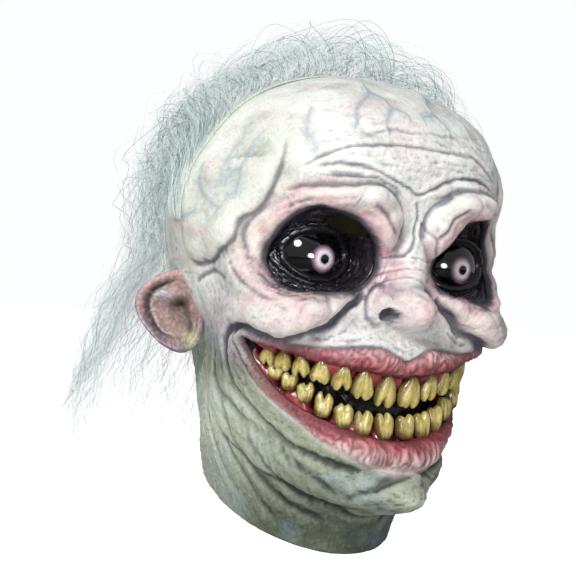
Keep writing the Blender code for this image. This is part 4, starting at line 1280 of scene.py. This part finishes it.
def build_ear(name, side, finish):
    """A cast ear: a rolled rim with a dark groove, an inner fold, a hollow and a bowl, and a lobe."""
    low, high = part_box(f"{name}_ear")
    centre = (from_frame(low) + from_frame(high)) / 2
    steps, rings = 150, 40
    t, r = np.meshgrid(np.linspace(0, 2 * math.pi, steps, endpoint=False), np.linspace(0.02, 1, rings))
    outline = 1 + 0.05 * np.cos(2 * t - 2.2) + 0.05 * np.sin(3 * t + 0.6) + 0.15 * bell(t - 5.25, 0.42)
    # local axes: u towards the face, v up, h out of the ear's front
    u, v = r * outline * np.cos(t), r * outline * np.sin(t)
    outer = ease(0.75, -0.35, np.cos(t - 0.35)) * ease(-1.15, -0.55, np.sin(t))
    helix = bell(r - 0.89, 0.11) * mix(0.35, 1, outer)
    groove = bell(r - 0.74, 0.05) * ease(0.6, -0.2, np.cos(t)) * ease(-0.95, -0.2, np.sin(t))
    antihelix = bell(np.hypot(u + 0.02, (v + 0.05) * 0.82) - 0.52, 0.10)
    antihelix = antihelix * ease(0.3, -0.3, u) * ease(-0.75, -0.4, v)
    fold = bell(np.hypot((u + 0.05) / 1.7, v - 0.44 + 0.25 * u), 0.14)
    hollow = bell(np.hypot((u - 0.12) / 2.0, v - 0.11), 0.13)
    bowl = bell(np.hypot((u - 0.12) / 0.95, (v + 0.20) / 1.1), 0.25)
    notch = bell(np.hypot(u - 0.24, (v + 0.52) * 0.8), 0.12)
    tragus = bell(np.hypot((u - 0.50) / 0.8, v + 0.15), 0.16)
    lobe = bell(np.hypot(u - 0.28, v + 0.85), 0.32)
    lump = noise2(u * 4, v * 4, 101)
    fine = ridges(noise2(u * 9, v * 7, 102))
    front = 1.0 + 7.0 * helix - 3.5 * groove + 4.5 * antihelix + 4.0 * fold + 4.0 * tragus + 3.5 * lobe
    front = front - 5.0 * hollow - 8.0 * bowl - 3.0 * notch + 0.5 * lump - 0.45 * (1 - fine)
    thickness = 5.0 * np.sqrt(np.clip(1 - r**4, 0, 1)) + 0.3
    back = front - thickness - 4.0 * bell(np.hypot(u - 0.2, v + 0.05), 0.5)
    pinkness = np.clip(0.4 + 0.8 * v + 0.5 * lump, 0, 1)[..., None]
    rim = mix(paint(0.56, 0.47, 0.52), paint(0.78, 0.62, 0.61), pinkness)
    colours = np.broadcast_to(paint(0.66, 0.55, 0.52), (*r.shape, 3))
    # Painted shade: the hollow, the notch, the groove and the fine wrinkles are dark. Painted highlight: the
    # inner fold is pale and the crests of the rims lighter.
    layers = (
        (rim, ease(0.70, 0.80, r)),
        (paint(0.48, 0.43, 0.36), 0.8 * bowl),
        (paint(0.80, 0.77, 0.81), 0.85 * fold),
        (paint(0.80, 0.80, 0.63), 0.9 * lobe),
        (paint(0.20, 0.12, 0.10), 0.95 * hollow),
        (paint(0.27, 0.19, 0.27), 0.85 * notch),
        (DARK_WASH_AND_SHADE, 0.85 * groove + 0.4 * (1 - fine)),
        (HIGHLIGHT, 0.28 * (helix + antihelix) * fine),
    )
    for over, share in layers:
        colours = mix(colours, over, np.clip(share, 0, 0.92)[..., None])

    def placed(height):
        x = u * EAR_HALF_SIZE[0] * (1 + 0.24 * v) + EAR_SHIFT
        x, z = swung(x, v * EAR_HALF_SIZE[1], EAR_LEAN)
        x, y = swung(x, -height, -EAR_FLARE)
        points = np.stack([x, y, z], -1)
        return points * (-side, 1, 1) + centre + (-2.0 * side, 0, -5.5)

    face, rear = placed(front), placed(back)
    rear[-1] = face[-1]
    points = np.vstack([face.reshape(-1, 3), rear[:-1].reshape(-1, 3), face[0].mean(0), rear[0].mean(0)])
    count, last = rings * steps, (rings - 1) * steps
    front_faces = whole_faces(rings, steps)
    behind = front_faces + count
    behind = np.where(behind >= count + last, behind - count, behind)
    faces = front_faces.tolist() + behind[:, ::-1].tolist()
    faces += fan(range(steps), len(points) - 2) + fan(range(count, count + steps), len(points) - 1)
    rear_colours = mix(colours, NECK_GREEN, 0.4)[:-1].reshape(-1, 3)
    shade = np.vstack([colours.reshape(-1, 3), rear_colours, colours[0, :1], colours[0, :1]])
    piece = mesh_object(f"shaped_{name}_ear", points, faces, finish, colours=shade)
    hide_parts(f"{name}_ear")


# ---- hair ----

BAND_WIDTH = 7.0
HAIR_CENTRE = (4.0, 166.0)
HAIR_HALF_WIDTH = 107.0
HAIR_BACK = 117.0
HAIR_UP = 128.0
HAIR_SPREAD = math.radians(78)
HAIR_HEM = -24.0
HAIR_SIDE_LIFT = 26.0  # how much higher the locks beside the ears end
HAIR_FLARE = 58.0
HAIR_REACH_SIDE = 130.0
HAIR_REACH_BACK = 182.0
HAIR_REACH_UP = 186.0
STRANDS = 1050
STRAND_POINTS = 56
STRAND_RADIUS = 0.125
STRAND_LENGTH = 420.0
STRAND_SIDES = 3
HAIR_WAVES = ((140, 7.5), (62, 4.2), (36, 1.6))  # length and size of each wave in a strand
HAIR_PIECES = ("right_side", "right_back", "right_nape", "back", "left_nape", "left_back", "left_side")


def head_tree(lift):
    """A plain copy of the head for rays to be cast at."""
    heights = over_dome(np.linspace(-30, SHOULDER, 40), np.linspace(0.05, 1.56, 24))
    s, z = np.meshgrid(np.linspace(-180, 180, 121)[:-1] * ARC, heights)
    place, normal = head_frame(s, z)
    points = (place + normal * lift).reshape(-1, 3)
    return BVHTree.FromPolygons(points.tolist(), whole_faces(*s.shape).tolist())


def over_head(tree, turn, forward=0.0):
    """Where the band's plane, moved forward, meets the head at a turn from the right ear (-) to the left."""
    origin = Vector((0, BAND_Y - forward, BAND_BOTTOM))
    out = Vector((math.sin(turn), -math.cos(turn) * math.tan(BAND_TILT), math.cos(turn)))
    for nudge in (0.0, 0.01, -0.013, 0.05):
        spot = tree.ray_cast(origin + out * 300 + Vector((nudge, nudge, 0)), -out)[0]
        if spot is not None:
            return np.array(spot)
    return np.array(tree.find_nearest(origin + out * 100)[0])


def build_band(tree, finish):
    """The sewn tape that carries the hair, with two rows of stitches."""
    steps, across = 300, 13
    turns = np.linspace(-HAIR_SPREAD, HAIR_SPREAD, steps)
    rows = []
    for k in range(across):
        offset = (k / (across - 1) - 0.5) * BAND_WIDTH
        rows.append([over_head(tree, turn, offset) for turn in turns])
    points = np.array(rows)
    middle = np.array([0.0, BAND_Y, BAND_BOTTOM])
    out = points - middle
    out /= np.linalg.norm(out, axis=-1, keepdims=True)
    k = np.arange(across)[:, None]
    stitch = bell(np.abs(k - (across - 1) / 2) - 3.5, 0.8) * (np.sin(turns * 260)[None] > 0)
    crown = np.sqrt(np.clip(1 - (2 * k / (across - 1) - 1) ** 2, 0, 1))
    points = points + out * (-0.8 + 0.5 * crown + 0.2 * stitch)[..., None]
    faces = sheet(across, steps)
    weave = 0.5 + 0.5 * np.sin(turns * 420)[None] * np.cos(k * 2.4)
    colours = mix(paint(0.74, 0.78, 0.74), paint(0.88, 0.90, 0.86), weave[..., None])
    colours = mix(colours, paint(0.60, 0.64, 0.62), (0.6 * stitch)[..., None])
    points, colours = points.reshape(-1, 3), colours.reshape(-1, 3)
    piece = mesh_object("weft_tape", points, faces, finish, colours=colours)
    thickened(piece, 1.0)
    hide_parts("hair_weft_band")


def held_within(value, most, soft=22.0):
    """Values whose size is eased off so that it never passes the most allowed."""
    size = np.abs(value)
    start = most - soft
    return np.sign(value) * np.where(size > start, start + soft * np.tanh((size - start) / soft), size)


def strand_paths(tree, across, rng):
    """Centre lines of strands, (strand, point, xyz): from the tape over the head and down past the nape."""
    count = len(across)
    samples = np.linspace(-1, 1, 121)
    roots = np.array([over_head(tree, a * HAIR_SPREAD) for a in samples])
    root = np.stack([np.interp(across, samples, roots[:, k]) for k in range(3)], -1)
    root = root + rng.normal(0, 1, (count, 3)) * (2.0, 0.0, 0.8)
    root[:, 1] += rng.uniform(-9, 16, count)
    reach = rng.uniform(0.78, 1.0, count) ** 0.8
    stray = rng.random(count)
    fall = np.linspace(0, 1, STRAND_POINTS)[None] * reach[:, None]
    drift = rng.normal(0, 0.05, (count, 1)) + rng.normal(0, 0.10, (count, 1)) * fall
    a = np.clip(across[:, None] + drift, -1.02, 1.02)
    turn = a * HAIR_SPREAD
    close = np.cos(turn) ** 0.6
    swing = np.radians(-14 + 122 * np.minimum(fall / 0.6, 1))
    hang = np.maximum(fall - 0.6, 0) / 0.4
    lift = 1 + (0.07 * rng.normal(0, 1, (count, 1)) - 0.04) * np.sin(math.pi * np.clip(fall / 0.9, 0, 1))
    lift = np.clip(lift, 0.86, 1.12)
    spread = hang**0.75
    flare = HAIR_FLARE * rng.uniform(0.5, 1.5, (count, 1))
    y = HAIR_CENTRE[0] + close * HAIR_BACK * lift * np.sin(swing) + flare * spread
    z = HAIR_CENTRE[1] + close * HAIR_UP * lift * np.cos(swing)
    hem = HAIR_HEM + HAIR_SIDE_LIFT * a**2
    z = z + (hem - z) * hang
    x = HAIR_HALF_WIDTH * lift * np.sin(turn) + 34 * np.clip(2 * a, -1, 1) * spread
    free = np.stack([x, y, z], -1)
    path = root[:, None] + (free - root[:, None]) * ease(-0.02, 0.22, fall)[..., None]
    outward = path - (0, *HAIR_CENTRE)
    outward /= np.linalg.norm(outward, axis=-1, keepdims=True)
    rise = mix(3, 30, ease(-0.5, 0.1, across))[:, None] * rng.uniform(0, 1, (count, 1)) * bell(fall - 0.12, 0.10)
    path = path + outward * rise[..., None]
    along = fall * STRAND_LENGTH
    wave = np.zeros_like(path)
    for size, amount in HAIR_WAVES:
        for k in range(3):
            phase = rng.uniform(0, 2 * math.pi, (count, 1))
            pace = rng.uniform(0.75, 1.35, (count, 1))
            swing = amount * rng.uniform(0.4, 1.3, (count, 1))
            wave[..., k] += swing * np.sin(2 * math.pi * along * pace / size + phase)
    path = path + wave * (ease(0, 0.25, fall) * (0.6 + 0.8 * stray[:, None]))[..., None]
    path[..., 0] = held_within(path[..., 0], HAIR_REACH_SIDE)
    path[..., 1] = held_within(path[..., 1], HAIR_REACH_BACK)
    path[..., 2] = HAIR_CENTRE[1] + held_within(path[..., 2] - HAIR_CENTRE[1], HAIR_REACH_UP)
    return path


def tubes(paths, radius, sides=STRAND_SIDES):
    """Thin tapering tubes along paths: points and faces."""
    count, length, _ = paths.shape
    ahead = np.gradient(paths, axis=1)
    ahead /= np.maximum(np.linalg.norm(ahead, axis=-1, keepdims=True), 1e-9)
    first = np.cross(ahead, np.array((0.31, 0.17, 0.93)))
    first /= np.maximum(np.linalg.norm(first, axis=-1, keepdims=True), 1e-9)
    second = np.cross(ahead, first)
    taper = radius[:, None] * (1 - 0.6 * np.linspace(0, 1, length)[None] ** 2)
    rings = []
    for k in range(sides):
        turn = 2 * math.pi * k / sides
        rings.append(paths + (math.cos(turn) * first + math.sin(turn) * second) * taper[..., None])
    points = np.stack(rings, 2).reshape(-1, 3)
    n, i, k = np.meshgrid(np.arange(count), np.arange(length - 1), np.arange(sides), indexing="ij")
    base = (n * length + i) * sides
    a, b = base + k, base + (k + 1) % sides
    quads = np.stack([a, b, b + sides, a + sides], -1).reshape(-1, 4)
    start = np.arange(count) * length * sides
    ring = start[:, None] + np.arange(sides)
    caps = np.concatenate([ring[:, ::-1], ring + (length - 1) * sides])
    return points, quads.tolist() + caps.tolist()


def keep_clear(paths, tree, gap=1.2):
    """Moves the points that fall inside the head out to its surface."""
    flat = paths.reshape(-1, 3)
    near = (np.abs(flat[:, 0]) < 125) & (flat[:, 2] > 0)
    for k in np.nonzero(near)[0]:
        point = Vector(flat[k])
        spot, normal, _, _ = tree.find_nearest(point, 40)
        if spot is not None and (point - spot).dot(normal) < gap:
            flat[k] = spot + normal * gap
    return flat.reshape(paths.shape)


def build_hair(tree, finish):
    """Wispy grey strands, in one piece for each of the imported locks."""
    step = 2 / len(HAIR_PIECES)
    for number, name in enumerate(HAIR_PIECES):
        rng = np.random.default_rng(200 + number)
        count = STRANDS // len(HAIR_PIECES)
        middle = -1 + (number + 0.5) * step
        across = middle + rng.uniform(-0.62, 0.62, count) * step
        clump = np.round(across * 24) / 24
        across = np.clip(mix(across, clump, 0.5), -1, 1)
        paths = keep_clear(strand_paths(tree, across, rng), tree)
        radius = STRAND_RADIUS * rng.uniform(0.6, 1.25, count)
        points, faces = tubes(paths, radius)
        tone = rng.random((count, 1, 1))
        colour = mix(paint(0.77, 0.87, 0.88), paint(0.96, 0.99, 0.99), np.clip(tone * 1.3 - 0.1, 0, 1))
        colour = np.where(tone < 0.16, paint(0.34, 0.44, 0.46), colour)
        colours = np.broadcast_to(colour, (count, STRAND_POINTS * STRAND_SIDES, 3)).reshape(-1, 3)
        piece = mesh_object(f"hair_strands_{name}", points, faces, finish, colours=colours, turn_out=False)
        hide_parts(f"hair_{name}")


# ---- materials ----


class Nodes:
    """A Principled material put together node by node."""

    def __init__(self, name, roughness=0.5, **settings):
        self.material = bpy.data.materials.new(name)
        self.material.use_nodes = True
        self.tree = self.material.node_tree
        self.shader = self.tree.nodes["Principled BSDF"]
        self.shader.inputs["Roughness"].default_value = roughness
        for title, value in settings.items():
            self.shader.inputs[title.replace("_", " ")].default_value = value

    def node(self, kind, inputs=None, **settings):
        made = self.tree.nodes.new("ShaderNode" + kind)
        for title, value in settings.items():
            setattr(made, title, value)
        for title, value in (inputs or {}).items():
            self.link(value, made.inputs[title])
        return made

    def link(self, value, socket):
        if isinstance(value, bpy.types.NodeSocket):
            self.tree.links.new(value, socket)
        else:
            socket.default_value = value

    def noise(self, scale, detail=3.0, roughness=0.6, coordinates=None):
        """Noise in space; the scale is in lumps per metre."""
        where = coordinates or self.node("TexCoord").outputs["Object"]
        made = self.node("TexNoise", {"Vector": where, "Scale": scale, "Detail": detail, "Roughness": roughness})
        return made.outputs["Fac"]

    def ramp(self, value, *stops):
        """A colour ramp from (position, colour) stops."""
        made = self.node("ValToRGB", {"Fac": value})
        elements = made.color_ramp.elements
        while len(elements) < len(stops):
            elements.new(0.5)
        for element, (position, colour) in zip(elements, stops):
            element.position = position
            shade = colour if np.ndim(colour) else (colour,) * 3
            element.color = (*shade, 1)
        return made.outputs["Color"]

    def blend(self, kind, share, a, b):
        made = self.node("Mix", data_type="RGBA", blend_type=kind)
        for index, value in ((0, share), (6, a), (7, b)):
            if not isinstance(value, bpy.types.NodeSocket) and np.ndim(value):
                value = (*value, 1) if len(value) == 3 else value
            self.link(value, made.inputs[index])
        return made.outputs[2]

    def scaled(self, value, low, high):
        """A number from 0 to 1 stretched from low to high."""
        return self.node("MapRange", {"Value": value, "To Min": low, "To Max": high}).outputs["Result"]

    def attribute(self, name, output="Color"):
        return self.node("Attribute", attribute_name=name).outputs[output]

    def bump(self, *layers):
        """Bumps laid over each other, each (height, depth in metres)."""
        normal = None
        for height, depth in layers:
            inputs = {"Height": height, "Distance": depth, "Strength": 1.0}
            if normal is not None:
                inputs["Normal"] = normal
            normal = self.node("Bump", inputs).outputs["Normal"]
        self.link(normal, self.shader.inputs["Normal"])

    def colour(self, value):
        self.link(value, self.shader.inputs["Base Color"])

    def rough(self, value):
        self.link(value, self.shader.inputs["Roughness"])


def latex_finish():
    """Painted latex: the sculpted paint, a fine dry-brushed grain, soft wrinkles and pores."""
    n = Nodes("painted_latex", Specular_IOR_Level=0.45, Coat_Weight=0.12, Coat_Roughness=0.35)
    fine, broad = n.noise(900, 4, 0.65), n.noise(160, 3, 0.6)
    leather = n.noise(380, 5, 0.7)
    grain = n.ramp(fine, (0.35, 0.80), (0.62, 1.06))
    colour = n.blend("MULTIPLY", 0.6, n.attribute("paint"), grain)
    colour = n.blend("MULTIPLY", 0.5, colour, n.ramp(leather, (0.34, 0.74), (0.56, 1.04)))
    colour = n.blend("MULTIPLY", 0.35, colour, n.ramp(broad, (0.3, 0.86), (0.7, 1.05)))
    n.colour(colour)
    n.rough(n.scaled(fine, 0.42, 0.62))
    n.bump((broad, 0.0006), (leather, 0.0007), (fine, 0.00022))
    return n.material


def socket_finish():
    """Wet black paint over the wrinkled cup, dry-brushed grey on its crests, which also stands in for their
    highlight.
    """
    n = Nodes("socket_paint", Specular_IOR_Level=0.5, Coat_Weight=0.5, Coat_Roughness=0.18)
    fine, broad = n.noise(1100, 4, 0.65), n.noise(240, 3, 0.6)
    n.colour(n.blend("MULTIPLY", 0.5, n.attribute("paint"), n.ramp(broad, (0.3, 0.55), (0.7, 1.1))))
    n.rough(n.scaled(broad, 0.16, 0.42))
    n.bump((broad, 0.0005), (fine, 0.00015))
    return n.material


def eye_finish():
    """A glazed eye under clear resin."""
    n = Nodes("eye_glaze", Specular_IOR_Level=0.6, Coat_Weight=1.0, Coat_Roughness=0.02)
    fine = n.noise(700, 3, 0.6)
    n.colour(n.blend("MULTIPLY", 0.35, n.attribute("paint"), n.ramp(fine, (0.35, 0.75), (0.65, 1.05))))
    n.rough(n.scaled(fine, 0.05, 0.12))
    n.bump((n.noise(60, 2), 0.00005))
    return n.material


def tooth_finish():
    """Varnished, stained enamel."""
    n = Nodes("stained_enamel", Specular_IOR_Level=0.55, Coat_Weight=0.7, Coat_Roughness=0.10)
    fine, broad = n.noise(1300, 4, 0.6), n.noise(380, 4, 0.7)
    n.colour(n.blend("MULTIPLY", 0.6, n.attribute("paint"), n.ramp(broad, (0.32, 0.55), (0.6, 1.08))))
    n.rough(n.scaled(broad, 0.14, 0.32))
    n.bump((broad, 0.00035), (fine, 0.0001))
    return n.material


def gum_finish():
    """Wet, veined gum."""
    n = Nodes("wet_gum", Specular_IOR_Level=0.5, Coat_Weight=0.8, Coat_Roughness=0.12)
    fine, broad = n.noise(900, 3, 0.6), n.noise(260, 4, 0.7)
    n.colour(n.blend("MULTIPLY", 0.6, n.attribute("paint"), n.ramp(broad, (0.3, 0.5), (0.7, 1.15))))
    n.rough(n.scaled(fine, 0.2, 0.4))
    n.bump((broad, 0.0005), (fine, 0.0001))
    return n.material


def lining_finish():
    """Glossy black paint inside the mouth, with a dull bloom."""
    n = Nodes("lining_black", Coat_Weight=0.6, Coat_Roughness=0.15)
    broad = n.noise(90, 4, 0.7)
    n.colour(n.ramp(broad, (0.4, (0.004, 0.004, 0.005)), (0.75, (0.02, 0.014, 0.016))))
    n.rough(n.scaled(broad, 0.15, 0.4))
    n.bump((broad, 0.001))
    return n.material


def hair_finish():
    """Fine synthetic hair, from dark to nearly white strands."""
    n = Nodes("grey_hair", roughness=0.45, Specular_IOR_Level=0.4)
    n.colour(n.blend("MULTIPLY", 0.4, n.attribute("paint"), n.ramp(n.noise(70, 3), (0.3, 0.7), (0.7, 1.1))))
    n.rough(n.scaled(n.noise(300), 0.35, 0.6))
    return n.material


def tape_finish():
    """Woven cotton tape."""
    n = Nodes("weft_cotton", roughness=0.9)
    weave = n.noise(2200, 2)
    n.colour(n.blend("MULTIPLY", 0.6, n.attribute("paint"), n.ramp(weave, (0.3, 0.7), (0.7, 1.1))))
    n.bump((weave, 0.0002))
    return n.material


# ---- stage ----


def light(name, place, aim, power, size):
    lamp = bpy.data.lights.new(name, "AREA")
    lamp.energy, lamp.size, lamp.shape = power, size, "DISK"
    made = bpy.data.objects.new(name, lamp)
    made.location = place
    made.rotation_euler = (Vector(aim) - Vector(place)).to_track_quat("-Z", "Y").to_euler()
    bpy.context.scene.collection.objects.link(made)


FLOOR_HALF = 3.0
FLOOR_DROP = 0.03  # the floor is this far below the part
LIGHTS = (  # name, place from the part's middle, power and size
    ("key", (-1.05, -1.0, 0.95), 23, 0.5),
    ("fill", (-0.35, -1.41, 0.12), 4.0, 0.35),
    ("back", (-0.5, 1.2, 0.9), 8, 0.8),
)


def build_stage():
    """A pale floor, a soft key from the upper left, a small fill beside the camera, and a pale surround."""
    low, high = np.array(cad_bounds[0]), np.array(cad_bounds[1])
    floor_height = low[2] - FLOOR_DROP
    mesh = bpy.data.meshes.new("floor")
    corners = [(x * FLOOR_HALF, y * FLOOR_HALF, floor_height) for x, y in ((-1, -1), (1, -1), (1, 1), (-1, 1))]
    mesh.from_pydata(corners, [], [(0, 1, 2, 3)])
    floor = bpy.data.objects.new("floor", mesh)
    n = Nodes("floor_paper", roughness=0.9)
    rays = n.node("LightPath")
    paper = n.ramp(n.noise(3, 2), (0.3, 0.86), (0.7, 0.90))
    n.colour(n.blend("MIX", rays.outputs["Is Glossy Ray"], paper, (0.05, 0.05, 0.05)))
    n.shader.inputs["Emission Color"].default_value = (1, 1, 1, 1)
    n.link(n.scaled(rays.outputs["Is Camera Ray"], 0.0, 0.85), n.shader.inputs["Emission Strength"])
    mesh.materials.append(n.material)
    bpy.context.scene.collection.objects.link(floor)
    middle = (low + high) / 2
    for name, offset, power, size in LIGHTS:
        light(name, middle + offset, middle, power, size)
    world = bpy.data.worlds.new("studio")
    world.use_nodes = True
    tree = world.node_tree
    shade = tree.nodes["Background"]
    shade.inputs["Color"].default_value = (0.985, 0.992, 1, 1)
    seen = tree.nodes.new("ShaderNodeLightPath")
    strength = tree.nodes.new("ShaderNodeMapRange")
    strength.inputs["To Min"].default_value = 0.27
    strength.inputs["To Max"].default_value = 1.0
    tree.links.new(seen.outputs["Is Camera Ray"], strength.inputs["Value"])
    tree.links.new(strength.outputs["Result"], shade.inputs["Strength"])
    bpy.context.scene.world = world
    bpy.context.scene.view_settings.view_transform = "Standard"


def build_camera():
    """A long lens, 30 degrees to the mask's right of its nose and a little above it, rolled 5 degrees."""
    turn, rise, roll = math.radians(-30), math.radians(2), math.radians(5)
    distance, lens = 1.3, 121.25
    back = Vector((math.sin(turn) * math.cos(rise), -math.cos(turn) * math.cos(rise), math.sin(rise)))
    right = Vector((math.cos(turn), math.sin(turn), 0))
    up = back.cross(right)
    aim = Vector(to_frame((0, 0, 120))) + right * -0.018 + up * 0.0132
    camera = bpy.data.cameras.new("camera")
    camera.lens, camera.sensor_width = lens, 36
    made = bpy.data.objects.new("camera", camera)
    made.location = aim + back * distance
    turned = back.to_track_quat("Z", "Y").to_matrix()
    made.rotation_euler = (turned @ Matrix.Rotation(roll, 3, "Z")).to_euler()
    bpy.context.scene.collection.objects.link(made)
    bpy.context.scene.camera = made


def main():
    latex, socket, glaze, enamel = latex_finish(), socket_finish(), eye_finish(), tooth_finish()
    build_skin(latex)
    for name, side in (("right", -1), ("left", 1)):
        build_eye_cup(name, side, socket)
        build_eye(name, glaze)
        build_ear(name, side, latex)
    gum = gum_finish()
    for row in ("upper", "lower"):
        set_teeth = []
        for side in (-1, 1):
            for number in range(1, 8):
                azimuth = build_tooth(row, side, number, enamel)
                set_teeth.append((azimuth, TOOTH_SIZES[row][number - 1][0] / ARC))
        build_gum(row == "upper", set_teeth, gum)
    build_lining(lining_finish())
    tree = head_tree(1.0)
    build_band(tree, tape_finish())
    build_hair(tree, hair_finish())
    build_stage()


main()
build_camera()
